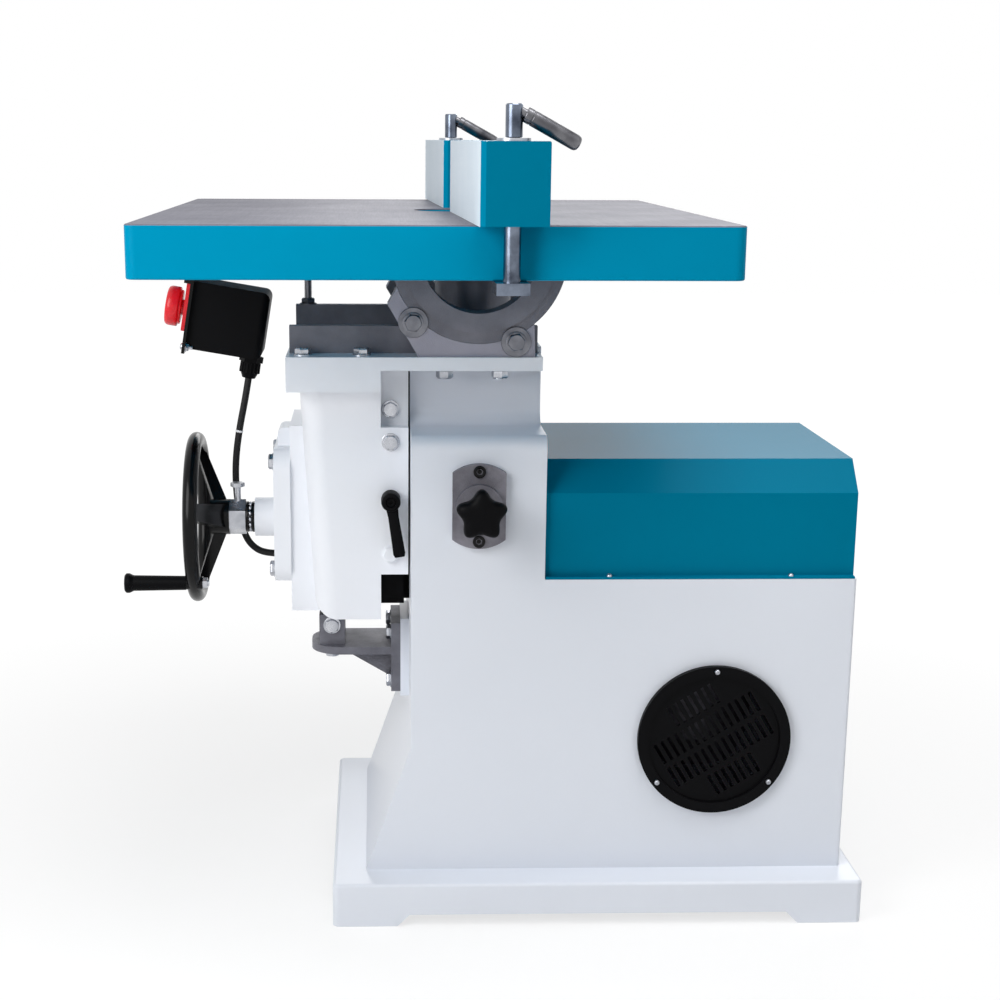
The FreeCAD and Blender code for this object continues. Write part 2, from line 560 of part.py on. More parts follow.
for row in range(-rows, rows + 1):
    for lane in (-1.5, -0.5, 0.5, 1.5):
        mid = step * (row * num("grille_pitch")) + run * (lane * num("grille_slot_length+grille_bar"))
        ends = [mid + run * (half_slot * s) for s in (-1, 1)]
        if max(end.Length for end in ends) > reach - half_wide:
            continue
        corners = [spot + ends[0] - step * half_wide, spot + ends[1] - step * half_wide,
                   spot + ends[1] + step * half_wide, spot + ends[0] + step * half_wide]
        for i in range(4):
            slots.addGeometry(Part.LineSegment(corners[i], corners[(i + 1) % 4]), False)
pocket(grille, slots, "grille_sheet")

# Small screws on the cover's lips, the grille's rim and the lock plate.
panel_screws = []
cover_holes = []
cover_middle = "(cover_left+cover_right)/2"
for x in (f"{cover_middle}-cover_screw_pitch/2", f"{cover_middle}+cover_screw_pitch/2"):
    for side in ("-", ""):
        piece, hole = screw("+Z", (x, f"{side}(cover_side+cover_lip/2)"), "cabinet_top+cover_sheet")
        panel_screws.append(piece)
        cover_holes.append(hole)
grille_holes = []
for angle in (90, 218, 322):
    x = f"grille_x+(grille_radius-grille_rim/2)*cos({angle})"
    z = f"grille_z+(grille_radius-grille_rim/2)*sin({angle})"
    piece, hole = screw("-Y", (x, z), "-cabinet_side-grille_sheet-grille_stand")
    panel_screws.append(piece)
    grille_holes.append(hole)
lock_holes = []
for side in ("-", "+"):
    piece, hole = screw("-Y", ("0", f"lock_z{side}(lock_plate_height/2-lock_screw_inset)"), "lock_seat")
    panel_screws.append(piece)
    lock_holes.append(hole)
node("belt_cover", cover, cover_holes)
node("vent_grille", grille, grille_holes)
node("panel_screws", group(*panel_screws))

# Spindle housing: a plain quill tube through the neck, with a bearing at each end.
housing_span = ("housing_bottom", "housing_top")
node("spindle_housing", tube("Z", ("0", "0"), housing_span, "housing_radius", "housing_bore"))
bearings = [tube("Z", ("0", "0"), span, "housing_bore-seat_gap", "bearing_bore+seat_gap") for span in (
    ("housing_top-bearing_width", "housing_top"), ("housing_bottom", "housing_bottom+bearing_width"))]
node("spindle_bearings", group(*bearings))

# Spindle: one turned shaft with the arbor on top, the lock collar and the pulley seat below.
spindle = new_body("Spindle")
pulley_foot = "belt_plane-pulley_width/2"
collar_foot = "lock_z-lock_collar_width/2"
collar_head = "lock_z+lock_collar_width/2"
turned = outline(sketch(spindle, "XZ_Plane"), [
    ("0", pulley_foot), ("spindle_shank", pulley_foot), ("spindle_shank", collar_foot),
    ("lock_collar_radius", collar_foot), ("lock_collar_radius", collar_head),
    ("bearing_bore", collar_head), ("bearing_bore", "housing_top+run_gap"),
    ("arbor_shoulder", "housing_top+run_gap"), ("arbor_shoulder", "arbor_foot"), ("arbor_radius", "arbor_foot"),
    ("arbor_radius", "arbor_top"), ("arbor_tip_radius", "arbor_top"), ("arbor_tip_radius", "arbor_tip"),
    ("0", "arbor_tip")])
revolve(spindle, turned, "Z_Axis")
lock_circle = circle(sketch(spindle, "XZ_Plane", "lock_collar_radius"), "0", "lock_z", "lock_pin_radius+run_gap")
lock_hole = pocket(spindle, lock_circle, "lock_travel")
lock_ring = spindle.newObject("PartDesign::PolarPattern", "LockHoles")
lock_ring.Originals = [lock_hole]
lock_ring.Axis = (plane(spindle, "Z_Axis"), [""])
bind(lock_ring, Occurrences="lock_hole_count")
spindle.Tip = lock_ring
node("spindle", spindle)


def crowned_pulley(x, radius, bore):
    """A flat-belt pulley with a flange at each edge."""
    low = "belt_plane-pulley_width/2"
    high = "belt_plane+pulley_width/2"
    drum = rod("Z", (x, "0"), (low, high), radius)
    rims = [rod("Z", (x, "0"), span, f"{radius}+belt_thick/2") for span in (
        (low, "belt_plane-belt_width/2-pulley_flange_gap"),
        ("belt_plane+belt_width/2+pulley_flange_gap", high))]
    return cut(fuse(drum, *rims), rod("Z", (x, "0"), (low, high), bore))


node("spindle_pulley", crowned_pulley("0", "spindle_pulley_radius", "spindle_shank+seat_gap"))

# Motor: hung under a plate inside the cabinet, its shaft carrying the large pulley.
plate_low = "cabinet_top-cabinet_wall-motor_plate_thick"
motor_low = f"{plate_low}-motor_length"
node("motor_plate", cut(
    block(("motor_x-motor_plate_size/2", "motor_x+motor_plate_size/2"),
          ("-motor_plate_size/2", "motor_plate_size/2"), (plate_low, "cabinet_top-cabinet_wall")),
    rod("Z", ("motor_x", "0"), (plate_low, "cabinet_top"), "motor_plate_hole")))
bell_top = f"{motor_low}+motor_bell"
motor_body = fuse(rod("Z", ("motor_x", "0"), (bell_top, plate_low), "motor_radius"),
                  cone("Z", ("motor_x", "0"), (motor_low, bell_top),
                       "motor_radius-motor_bell_step", "motor_radius"),
                  block(("motor_x-terminal_width/2", "motor_x+terminal_width/2"),
                        ("motor_radius-terminal_sink", "motor_radius+terminal_out"),
                        (f"{plate_low}-terminal_foot", f"{plate_low}-terminal_top")))
rotor_room = rod("Z", ("motor_x", "0"), (f"{motor_low}+rotor_sink", plate_low), "motor_shaft+seat_gap")
node("motor", cut(motor_body, rotor_room))
rotor_foot = f"{motor_low}+rotor_sink+rotor_end_gap"
rotor_shaft = rod("Z", ("motor_x", "0"), (rotor_foot, "belt_plane+pulley_width/2"), "motor_shaft")
motor_pulley = crowned_pulley("motor_x", "motor_pulley_radius", "motor_shaft-rotor_key")
node("motor_rotor", fuse(rotor_shaft, motor_pulley))


def belt_loop(small, large, centre):
    """The closed line of a belt round two pulleys: two arcs and the straight runs that touch both."""
    lean = math.asin((large - small) / centre)
    up = V(-math.sin(lean), math.cos(lean), 0)
    down = V(-math.sin(lean), -math.cos(lean), 0)
    far = V(centre, 0, 0)
    top = Part.LineSegment(up * small, far + up * large).toShape()
    bottom = Part.LineSegment(far + down * large, down * small).toShape()
    round_large = Part.Arc(far + up * large, far + V(large, 0, 0), far + down * large).toShape()
    round_small = Part.Arc(down * small, V(-small, 0, 0), up * small).toShape()
    return Part.Face(Part.Wire([top, round_large, bottom, round_small]))


small = num("spindle_pulley_radius+run_gap")
large = num("motor_pulley_radius+run_gap")
ribbon = belt_loop(small + num("belt_thick"), large + num("belt_thick"), num("motor_x")).cut(
    belt_loop(small, large, num("motor_x"))).extrude(V(0, 0, num("belt_width")))
ribbon.translate(V(0, 0, num("belt_plane-belt_width/2")))
node("drive_belt", feature(ribbon))

# Spindle lock: a plate with rounded ends on the column, a sliding pin and a star knob that turns on it.
plate_span = ("lock_seat", "-cabinet_side")
plate_form = doc.addObject("Part::Common", "LockPlate")
plate_form.Base = block(("-lock_plate_width/2", "lock_plate_width/2"), plate_span,
                        ("lock_z-lock_plate_height/2", "lock_z+lock_plate_height/2"))
plate_form.Tool = rod("Y", ("0", "lock_z"), plate_span, "lock_plate_height/2")
lock_boss = rod("Y", ("0", "lock_z"), ("lock_seat-lock_boss", "lock_seat"), "lock_boss_radius")
pin_room = rod("Y", ("0", "lock_z"), ("lock_seat-lock_boss", "-cabinet_side"), "lock_pin_radius+seat_gap")
node("lock_plate", fuse(plate_form, lock_boss), [pin_room] + lock_holes)
pin_tip = "-lock_collar_radius-lock_rest_gap"
node("lock_pin", rod("Y", ("0", "lock_z"), ("knob_back-knob_thick/2", pin_tip), "lock_pin_radius"))

knob = new_body("LockKnob")
pad(knob, circle(sketch(knob, "XZ_Plane", "-knob_back"), "0", "lock_z", "knob_core"), "knob_thick")
for i in range(5):
    angle = 90 + 72 * i
    lobe = circle(sketch(knob, "XZ_Plane", "-knob_back"), f"(knob_radius-knob_lobe)*cos({angle})",
                  f"lock_z+(knob_radius-knob_lobe)*sin({angle})", "knob_lobe")
    pad(knob, lobe, "knob_thick")
pocket(knob, circle(sketch(knob, "XZ_Plane", "-knob_back"), "0", "lock_z", "lock_pin_radius+seat_gap"),
       "knob_thick/2+run_gap", True)
node("lock_knob", knob)

# Lead-screw bracket: a cast shelf with a gusset and a bolted flange on the column's pad.
flange_face = "-column_side-bracket_pad"
bracket = new_body("ScrewBracket")
pad(bracket, rectangle(sketch(bracket, "XY_Plane", "shelf_top-shelf_thick"), ("shelf_left", flange_face),
                       ("-shelf_width/2", "shelf_width/2")), "shelf_thick")
soften(bracket, "shelf_round", lambda e: along_axis(e, "Z") and near(middle(e).x, "shelf_left"))
pad(bracket, rectangle(sketch(bracket, "YZ_Plane", f"{flange_face}-bracket_flange"),
                       ("-shelf_width/2", "shelf_width/2"), ("bracket_foot", "bracket_head")), "bracket_flange")
pad(bracket, outline(sketch(bracket, "XZ_Plane", "-gusset_width/2"), [
    ("gusset_left", "shelf_top-shelf_thick"), (flange_face, "shelf_top-bracket_drop"),
    (flange_face, "shelf_top-shelf_thick/2"), ("gusset_left", "shelf_top-shelf_thick/2")]), "gusset_width")
bracket_bolts = []
bracket_holes = []
for side in ("-", ""):
    for z in ("bracket_foot+bracket_bolt_end", "bracket_head-bracket_bolt_end"):
        spot = (f"{side}(shelf_width/2-bracket_bolt_side)", z)
        piece, hole = bolt("-X", spot, f"{flange_face}-bracket_flange")
        bracket_bolts.append(piece)
        bracket_holes.append(hole)
    piece, hole = bolt("-Z", ("screw_x", f"{side}(post_depth/2-post_bolt_side)"), "shelf_top-shelf_thick",
                       grip="shelf_thick+post_bolt_grip")
    bracket_bolts.append(piece)
    bracket_holes.append(hole)
post_bolt, post_hole = bolt("-Y", ("screw_x", "shelf_top+post_height-post_bolt_drop"), "-post_depth/2")
node("screw_bracket", bracket, bracket_holes)
node("cabinet", cabinet, cover_holes + bracket_holes[:2] + bracket_holes[3:5])
post = block(("screw_x-post_width/2", "screw_x+post_width/2"), ("-post_depth/2", "post_depth/2"),
             ("shelf_top", "shelf_top+post_height"))
screw_seat = rod("Z", ("screw_x", "0"), ("shelf_top", "shelf_top+post_height"), "screw_radius+seat_gap")
node("screw_post", post, [screw_seat, post_hole, bracket_holes[2], bracket_holes[5]])
node("screw_bracket_bolts", group(post_bolt, *bracket_bolts))
node("lead_screw", rod("Z", ("screw_x", "0"), ("shelf_top", "screw_top"), "screw_radius"))

# Knee: the sliding casting that carries the table. A flanged head with two arms past the neck, a tapering
# body with rounded corners, and a hollow for the lifting gears.
knee = new_body("KneeCasting")
pad(knee, outline(sketch(knee, "XZ_Plane", "-knee_side"), [
    ("knee_left_bottom", "knee_bottom"), ("knee_right", "knee_bottom"), ("knee_right", "knee_top"),
    ("knee_left_top", "knee_top")]), "knee_width")
soften(knee, "knee_round", lambda e: middle(e).x < num("knee_left_bottom") + 1
       and e.BoundBox.ZMin < num("knee_bottom") + 1)
pad(knee, rectangle(sketch(knee, "XY_Plane", "knee_top-knee_flange"), ("knee_left", "knee_right"),
                    ("-arm_side", "arm_side")), "knee_flange")
arms = rectangle(sketch(knee, "XY_Plane", "knee_top-knee_plate"), ("knee_left", "arm_right"),
                 ("arm_inner", "arm_side"))
rectangle(arms, ("knee_left", "arm_right"), ("-arm_side", "-arm_inner"))
pad(knee, arms, "knee_plate")
pad(knee, rectangle(sketch(knee, "YZ_Plane", "knee_left"), ("-knee_boss_width/2", "knee_boss_width/2"),
                    ("knee_bottom", "knee_boss_top")), "knee_left_bottom-knee_left+knee_round")
pocket(knee, circle(sketch(knee, "XY_Plane", "knee_bottom"), "screw_x", "0", "gear_room"),
       "gear_roof-knee_bottom", True)
pocket(knee, circle(sketch(knee, "XY_Plane", "gear_roof"), "screw_x", "0", "screw_radius+screw_room"),
       "screw_top-gear_roof+screw_head_room", True)
pocket(knee, circle(sketch(knee, "YZ_Plane", "knee_left"), "0", "wheel_z", "shaft_radius+shaft_room"),
       "gear_room/2", True)

# Keepers: two bars bolted to the knee that hook behind the rail's flange, with a thinner strip above.


def keeper(sign):
    body = new_body("Keeper")
    outer, inner = f"{sign}knee_side", f"{sign}(rail_width/2+slide_gap)"
    hook = f"{sign}(rail_stem/2+slide_gap)"
    pad(body, outline(sketch(body, "XY_Plane", "keeper_bottom"), [
        ("knee_right", outer), ("keeper_right", outer), ("keeper_right", hook), ("rail_back+slide_gap", hook),
        ("rail_back+slide_gap", inner), ("knee_right", inner)]), "keeper_top-keeper_bottom")
    pad(body, rectangle(sketch(body, "XY_Plane", "keeper_top"), ("knee_right", "keeper_right"),
                        (inner, f"{sign}(rail_width/2+strip_depth)")), "knee_top-knee_plate-keeper_top")
    return body


gib_screws = []
keeper_holes = {"-": [], "+": []}
for sign in ("-", "+"):
    for z, depth in (("keeper_top+strip_screw_rise", "strip_depth+rail_width/2"),
                     ("keeper_top-keeper_screw_drop", "knee_side"),
                     ("keeper_bottom+keeper_screw_rise", "knee_side")):
        piece, hole = bolt(f"{sign}Y", ("knee_right+keeper_screw_inset", z), f"{sign}({depth})")
        gib_screws.append(piece)
        keeper_holes[sign].append(hole)
lever_spot = ("lock_lever_x", "lock_lever_z")
lever_hole = rod("Y", lever_spot, ("-knee_side", "-rail_width/2"), "lock_lever_screw+seat_gap")
node("front_keeper", keeper("-"), keeper_holes["-"] + [lever_hole])
node("rear_keeper", keeper("+"), keeper_holes["+"])
node("gib_screws", group(*gib_screws))

# Clamp lever that locks the knee on its rail.
hub_back = "-knee_side-run_gap"
lever_hub = rod("Y", lever_spot, (f"{hub_back}-lock_lever_hub_depth", hub_back), "lock_lever_hub")
lever_screw = rod("Y", lever_spot, (hub_back, "-rail_width/2-run_gap"), "lock_lever_screw")
lever_arm = doc.addObject("Part::Cone", "LeverArm")
bind(lever_arm, Radius1="lock_lever_root", Radius2="lock_lever_tip", Height="lock_lever_reach")
lever_arm.Placement = FreeCAD.Placement(V(), FreeCAD.Rotation(V(0, 1, 0), 180 - num("lock_lever_lean")))
put(lever_arm, "lock_lever_x", f"{hub_back}-lock_lever_out", "lock_lever_z")
node("knee_lock_lever", fuse(lever_hub, lever_screw, lever_arm))

# Gear housing on the knee's operator side, with the boss that carries the hand-wheel shaft.
housing = new_body("GearHousing")
pad(housing, rectangle(sketch(housing, "YZ_Plane", "gear_housing_left"),
                       ("-gear_housing_width/2", "gear_housing_width/2"),
                       ("gear_housing_bottom", "gear_housing_top")), "knee_left-gear_housing_left")
soften(housing, "gear_housing_round", lambda e: along_axis(e, "X"))
lug_top = "gear_housing_top+lug_rise"
pad(housing, outline(sketch(housing, "YZ_Plane", "gear_housing_left+lug_round/2"), [
    ("-lug_width/2", "gear_housing_top-lug_round"), ("lug_width/2", "gear_housing_top-lug_round"),
    ("lug_width/2-lug_round", lug_top), ("lug_round-lug_width/2", lug_top)]),
    "knee_left-gear_housing_left-lug_round/2")
soften(housing, "lug_round", lambda e: near(middle(e).z, lug_top) and middle(e).x < num("knee_left") - 1
       and along_axis(e, "Y"))
pad(housing, circle(sketch(housing, "YZ_Plane", "boss_left"), "0", "wheel_z", "boss_radius"),
    "gear_housing_left-boss_left+1")
pocket(housing, circle(sketch(housing, "YZ_Plane", "boss_left"), "0", "wheel_z", "bush_radius+seat_gap"),
       "knee_left-boss_left", True)
housing_bolts = []
housing_holes = []
for side in ("-", ""):
    for z in ("gear_housing_bottom+housing_bolt_foot", "gear_housing_top-housing_bolt_drop"):
        piece, hole = bolt("-X", (f"{side}(gear_housing_width/2-housing_bolt_side)", z), "gear_housing_left",
                           grip="knee_left-gear_housing_left+housing_bolt_grip")
        housing_bolts.append(piece)
        housing_holes.append(hole)
node("gear_housing", housing, housing_holes)
node("gear_housing_bolts", group(*housing_bolts))
bush_span = ("boss_left", "knee_left")
node("shaft_bush", tube("X", ("0", "wheel_z"), bush_span, "bush_radius", "shaft_radius+seat_gap"))

# Hand wheel: shaft, collar with its set screw, dished wheel with a round rim, crank grip on a bolt.
pinion_back = "screw_x-gear_pitch-pinion_hub"
node("handwheel_shaft", rod("X", ("0", "wheel_z"), ("hub_left-shaft_stub", pinion_back), "shaft_radius"))
collar_span = ("collar_left", "thrust_left")
collar_top = "wheel_z+collar_radius"
set_screw_spot = ("(collar_left+thrust_left)/2", "0")
set_screw_seat = f"{collar_top}+set_screw_rise"
collar = fuse(hexagon("X", ("0", "wheel_z"), collar_span, "2*collar_radius"),
              rod("Z", set_screw_spot, (f"{collar_top}-set_screw_sink", set_screw_seat), "set_screw_radius"),
              hexagon("Z", set_screw_spot, (set_screw_seat, f"{set_screw_seat}+set_screw_head"),
                      "set_screw_across"))
node("shaft_collar", cut(collar, rod("X", ("0", "wheel_z"), collar_span, "shaft_radius+seat_gap")))


def spoke_section(x, radius, width, thick):
    """The closed outline of a spoke where it is so far from the wheel's axis."""
    wide, deep = num(width) / 2, num(thick) / 2
    middle_x, out = num(x), num(radius)
    corners = [V(middle_x - deep, -wide, out), V(middle_x + deep, -wide, out),
               V(middle_x + deep, wide, out), V(middle_x - deep, wide, out)]
    return Part.makePolygon(corners + corners[:1])


wheel = new_body("HandWheel")
turned = circle(sketch(wheel, "XZ_Plane"), "rim_x", "rim_radius", "rim_section")
revolve(wheel, turned, "X_Axis")
spokes = []
for i in range(int(num("spoke_count"))):
    root = spoke_section("(hub_left+collar_left)/2", "hub_radius-spoke_sink",
                         "spoke_width", "spoke_root_thick")
    tip = spoke_section("rim_x", "rim_radius", "spoke_tip_width", "spoke_thick")
    spoke = Part.makeLoft([root, tip], True, True)
    spoke.rotate(V(), V(1, 0, 0), 90 + num("grip_angle") + i * 360 / num("spoke_count"))
    spokes.append(feature(spoke))
hub = rod("X", ("0", "0"), ("hub_left", "collar_left"), "hub_radius")
grip_y = "-rim_radius*sin(45)"
boss_spot = (grip_y, "-rim_radius*sin(45)")
boss_face = "rim_x+rim_section+grip_boss_rise"
grip_boss = rod("X", boss_spot, ("rim_x-rim_section", boss_face), "grip_boss")
dish = cut(fuse(wheel, hub, grip_boss, *spokes),
           rod("X", ("0", "0"), ("hub_left-hub_radius", "collar_left"), "shaft_radius+seat_gap"),
           rod("X", boss_spot, ("rim_x-2*rim_section", "rim_x+2*rim_section"), "grip_bolt+hole_gap"))
dish.setExpression(".Placement.Base.z", "Sizes.wheel_z")
node("handwheel", dish)
grip_z = "wheel_z-rim_radius*sin(45)"
grip_root = "rim_x-rim_section-run_gap"
grip_spot = (grip_y, grip_z)
nut_face = f"{boss_face}+grip_nut"
head_top = "grip_head_sink-grip_end"
head_seat = f"{head_top}+grip_head"
grip_bolt_span = (f"{head_top}+grip_edge", f"{nut_face}+grip_bolt_end")
node("grip_bolt", fuse(rod("X", grip_spot, grip_bolt_span, "grip_bolt"),
                       hexagon("X", grip_spot, (boss_face, nut_face), "grip_nut_across"),
                       rod("X", grip_spot, (head_top, head_seat), "grip_head_radius")))
cup = "grip_head_radius+grip_head_room"
cup_floor = f"{head_seat}+grip_head_gap"
grip = new_body("CrankGrip")
revolve(grip, outline(sketch(grip, "XZ_Plane"), [
    ("-grip_end", cup), ("-grip_end", "grip_flare-grip_edge"), ("grip_edge-grip_end", "grip_flare"),
    ("grip_lip-grip_end", "grip_flare"), ("grip_lip+grip_cup-grip_end", "grip_radius+grip_swell"),
    (grip_root, "grip_radius"), (grip_root, "grip_bolt+seat_gap"), (cup_floor, "grip_bolt+seat_gap"),
    (cup_floor, cup)]), "X_Axis")
put(grip, "0", grip_y, grip_z)
node("crank_grip", grip)


# Bevel gears: a small pinion on the hand-wheel shaft turns the gear nut that climbs the lead screw.
def bevel_gear(teeth, mate, phase):
    """Straight bevel gear with its cone's apex at the origin and its wide end up the +Z axis."""
    module, face = num("gear_module"), num("gear_face")
    half_angle = math.atan2(teeth, mate)
    cone_length = module * math.hypot(teeth, mate) / 2
    radius, height = cone_length * math.sin(half_angle), cone_length * math.cos(half_angle)
    keep = (cone_length - face) / cone_length
    root, tip = -num("tooth_root"), num("tooth_tip")
    slope, sink = math.tan(math.radians(num("pressure_angle"))), num("tooth_sink")
    thick = math.pi * module / 4 - num("gear_backlash") / 2

    def rib_point(rise, sign, turn):
        reach = radius + rise * math.cos(half_angle)
        swing = turn + sign * (thick - rise * slope) / radius
        return V(reach * math.cos(swing), reach * math.sin(swing), height - rise * math.sin(half_angle))

    root_radius = radius + root * math.cos(half_angle)
    root_height = height - root * math.sin(half_angle)
    solid = Part.makeCone(root_radius * keep, root_radius, root_height * (1 - keep),
                          V(0, 0, root_height * keep))
    ribs = []
    for i in range(teeth):
        turn = 2 * math.pi * (i + phase) / teeth
        corners = [rib_point(root - sink, -1, turn), rib_point(tip, -1, turn),
                   rib_point(tip, 1, turn), rib_point(root - sink, 1, turn)]
        wide = Part.makePolygon(corners + corners[:1])
        narrow = Part.makePolygon([c * keep for c in corners + corners[:1]])
        ribs.append(Part.makeLoft([narrow, wide], True, True))
    return solid.fuse(ribs)


apex = V(num("screw_x"), 0, num("wheel_z"))
pinion_teeth, gear_teeth = int(num("pinion_teeth")), int(num("gear_teeth"))
pinion = bevel_gear(pinion_teeth, gear_teeth, 0.5)
pinion.rotate(V(), V(0, 1, 0), -90)
pinion.translate(apex)
pinion_hub = rod("X", ("0", "wheel_z"), (pinion_back, "screw_x-gear_pitch"), "shaft_radius")
node("bevel_pinion", fuse(feature(pinion), pinion_hub))
gear = bevel_gear(gear_teeth, pinion_teeth, 0)
gear.translate(apex)
nut_span = ("wheel_z+pinion_pitch+nut_clear", "gear_roof-nut_thrust")
nut_bore = rod("Z", ("screw_x", "0"), ("wheel_z", "gear_roof"), "screw_radius+run_gap")
nut_neck = rod("Z", ("screw_x", "0"), nut_span, "gear_nut_radius")
node("bevel_nut", cut(fuse(feature(gear), nut_neck), nut_bore))
node("thrust_bearings", group(
    tube("Z", ("screw_x", "0"), ("gear_roof-nut_thrust", "gear_roof"),
         "gear_nut_radius", "screw_radius+screw_room"),
    tube("X", ("0", "wheel_z"), ("thrust_left", "boss_left"), "thrust_radius", "shaft_radius+seat_gap")))


# Saddles: curved seats on the knee's arms that hold the trunnion rings, each with an upright web behind.
def saddle(sign, extra):
    body = new_body("Saddle")
    front = "saddle_front" if sign == "-" else "-saddle_back"
    seat = outline(sketch(body, "XZ_Plane", front), [
        ("saddle_left_foot", "knee_top"), ("saddle_right", "knee_top"),
        ("saddle_right-saddle_tip_inset", "tilt_z-saddle_tip_drop"),
        ("saddle_hook_x", "tilt_z-saddle_hook_drop"),
        ("saddle_left_top", "saddle_shoulder")])
    pad(body, seat, "saddle_front-saddle_back", True)
    ring_room = circle(sketch(body, "XZ_Plane", front), "0", "tilt_z", "ring_outer+run_gap")
    pocket(body, ring_room, "saddle_front-saddle_back")
    web_face = "web_front" if sign == "-" else "-web_back"
    web = rectangle(sketch(body, "XZ_Plane", web_face), ("web_left", "web_right"),
                    ("knee_top", f"knee_top+web_height+{extra}"))
    pad(body, web, "web_thick", True)
    return body


saddle_bolts = []
arm_holes = []
clamp_bolts = []
clamp_holes = {"-": [], "+": []}
for sign in ("-", "+"):
    for x in ("arm_bolt_left", "arm_bolt_right"):
        piece, hole = bolt("-Z", (x, f"{sign}(saddle_front+saddle_back)/2"), "knee_top-knee_plate",
                           head="arm_bolt_head", grip="knee_plate+bolt_grip")
        saddle_bolts.append(piece)
        arm_holes.append(hole)
    for x in ("knee_left+foot_bolt_near", "knee_left+foot_bolt_far"):
        spot = (x, f"{sign}(saddle_front+saddle_back)/2")
        piece, hole = bolt("+Z", spot, "knee_top", head="arm_bolt_head")
        saddle_bolts.append(piece)
        arm_holes.append(hole)
    for angle in ("clamp_left_angle", "clamp_right_angle"):
        spot = (f"clamp_circle*cos({angle})", f"tilt_z+clamp_circle*sin({angle})")
        seat = f"{sign}(saddle_front+clamp_washer_thick)"
        piece, hole = bolt(f"{sign}Y", spot, seat, "clamp_bolt_radius", "clamp_bolt_across", "clamp_bolt_head",
                           "clamp_bolt_grip")
        span = (seat, f"{sign}saddle_front") if sign == "-" else (f"{sign}saddle_front", seat)
        clamp_bolts.extend([piece, tube("Y", spot, span, "clamp_washer", "clamp_bolt_radius+hole_gap")])
        clamp_holes[sign].append(hole)
stop_y = "(web_front+web_back)/2"
stop_foot = "knee_top+web_height+rear_web_extra"
stop_hole = rod("Z", ("stop_x", stop_y), (f"{stop_foot}-stop_sink", stop_foot), "stop_radius+hole_gap")
node("knee_casting", knee, arm_holes + housing_holes)
node("front_saddle", saddle("-", "0"), clamp_holes["-"] + arm_holes[0:2])
node("rear_saddle", saddle("+", "rear_web_extra"), clamp_holes["+"] + arm_holes[4:6] + [stop_hole])
node("saddle_bolts", group(*saddle_bolts))
node("trunnion_clamp_bolts", group(*clamp_bolts))
stop_stud = rod("Z", ("stop_x", stop_y), (f"{stop_foot}-stop_sink", "table_under-run_gap"), "stop_radius")
stop_nut = hexagon("Z", ("stop_x", stop_y), (stop_foot, f"{stop_foot}+stop_nut"), "bolt_across")
node("tilt_stop_screw", fuse(stop_stud, stop_nut))


# Trunnion rings: half rings under the table whose rims turn in the saddles, with bolted feet.
def mirrored(sign, inner, outer):
    """A span from inner to outer on one side of the machine's middle, its lower end first."""
    return (f"-({outer})", f"-({inner})") if sign == "-" else (inner, outer)


def trunnion_ring(sign):
    rim_span = mirrored(sign, "saddle_back+run_gap", "saddle_front-run_gap")
    full_span = mirrored(sign, "saddle_back+run_gap", "saddle_front+ring_proud")
    body = fuse(rod("Y", ("0", "tilt_z"), rim_span, "ring_outer"),
                rod("Y", ("0", "tilt_z"), full_span, "ring_step"))
    upper_half = block(("-2*ring_outer", "2*ring_outer"), full_span, ("tilt_z", "tilt_z+2*ring_outer"))
    lower = cut(body, upper_half)
    lugs = []
    for side in ("-", "+"):
        lugs.append(block(mirrored(side, "ring_inner-ring_lug_inset", "ring_outer"), rim_span,
                          ("tilt_z", "plate_under")))
        lugs.append(block(mirrored(side, "ring_outer-ring_foot_lap", "ring_outer+ring_foot"), rim_span,
                          ("plate_under-ring_foot_thick", "plate_under")))
    return cut(fuse(lower, *lugs), rod("Y", ("0", "tilt_z"), full_span, "ring_inner"))


ring_bolts = []
ring_holes = {"-": [], "+": []}
for sign in ("-", "+"):
    for side in ("-", ""):
        spot = (f"{side}(ring_outer+ring_foot-ring_bolt_inset)", f"{sign}(saddle_front+saddle_back)/2")
        piece, hole = bolt("-Z", spot,
                           "plate_under-ring_foot_thick", grip="ring_foot_thick+ring_bolt_grip")
        ring_bolts.append(piece)
        ring_holes[sign].append(hole)
node("front_trunnion_ring", trunnion_ring("-"), ring_holes["-"])
node("rear_trunnion_ring", trunnion_ring("+"), ring_holes["+"])
node("ring_bolts", group(*ring_bolts))

# Table: a ribbed casting with a deep skirt and an oblong hole for the arbor.
table = new_body("TableTop")
pad(table, rectangle(sketch(table, "XY_Plane", "table_under"), ("table_left", "table_right"),
                     ("-table_side", "table_side")), "table_depth")
soften(table, "table_corner", lambda e: along_axis(e, "Z"))
soften(table, "table_edge", lambda e: e.BoundBox.ZLength < 0.01)
table_room = rectangle(sketch(table, "XY_Plane", "table_under"),
                       ("table_left+table_skirt", "table_right-table_skirt"),
                       ("table_skirt-table_side", "table_side-table_skirt"))
pocket(table, table_room, "table_depth-table_plate", True)
rib_y = "(arm_side+rib_thick)"
ribs = sketch(table, "XY_Plane", "table_under")
for low, high in ((f"{rib_y}", f"{rib_y}+rib_thick"), (f"-{rib_y}-rib_thick", f"-{rib_y}")):
    rectangle(ribs, ("table_left+table_skirt/2", "table_right-table_skirt/2"), (low, high))
pad(table, ribs, "table_depth-table_plate/2")
ribs = rectangle(sketch(table, "XY_Plane", "table_under"), ("stop_x-rib_thick/2", "stop_x+rib_thick/2"),
                 (f"-{rib_y}-rib_thick/2", f"{rib_y}+rib_thick/2"))
pad(table, ribs, "table_depth-table_plate/2")
hole_round = "hole_width/2"
for x in (f"hole_left+{hole_round}", f"hole_right-{hole_round}"):
    pocket(table, circle(sketch(table, "XY_Plane", "table_height"), x, "0", hole_round), "2*table_plate")
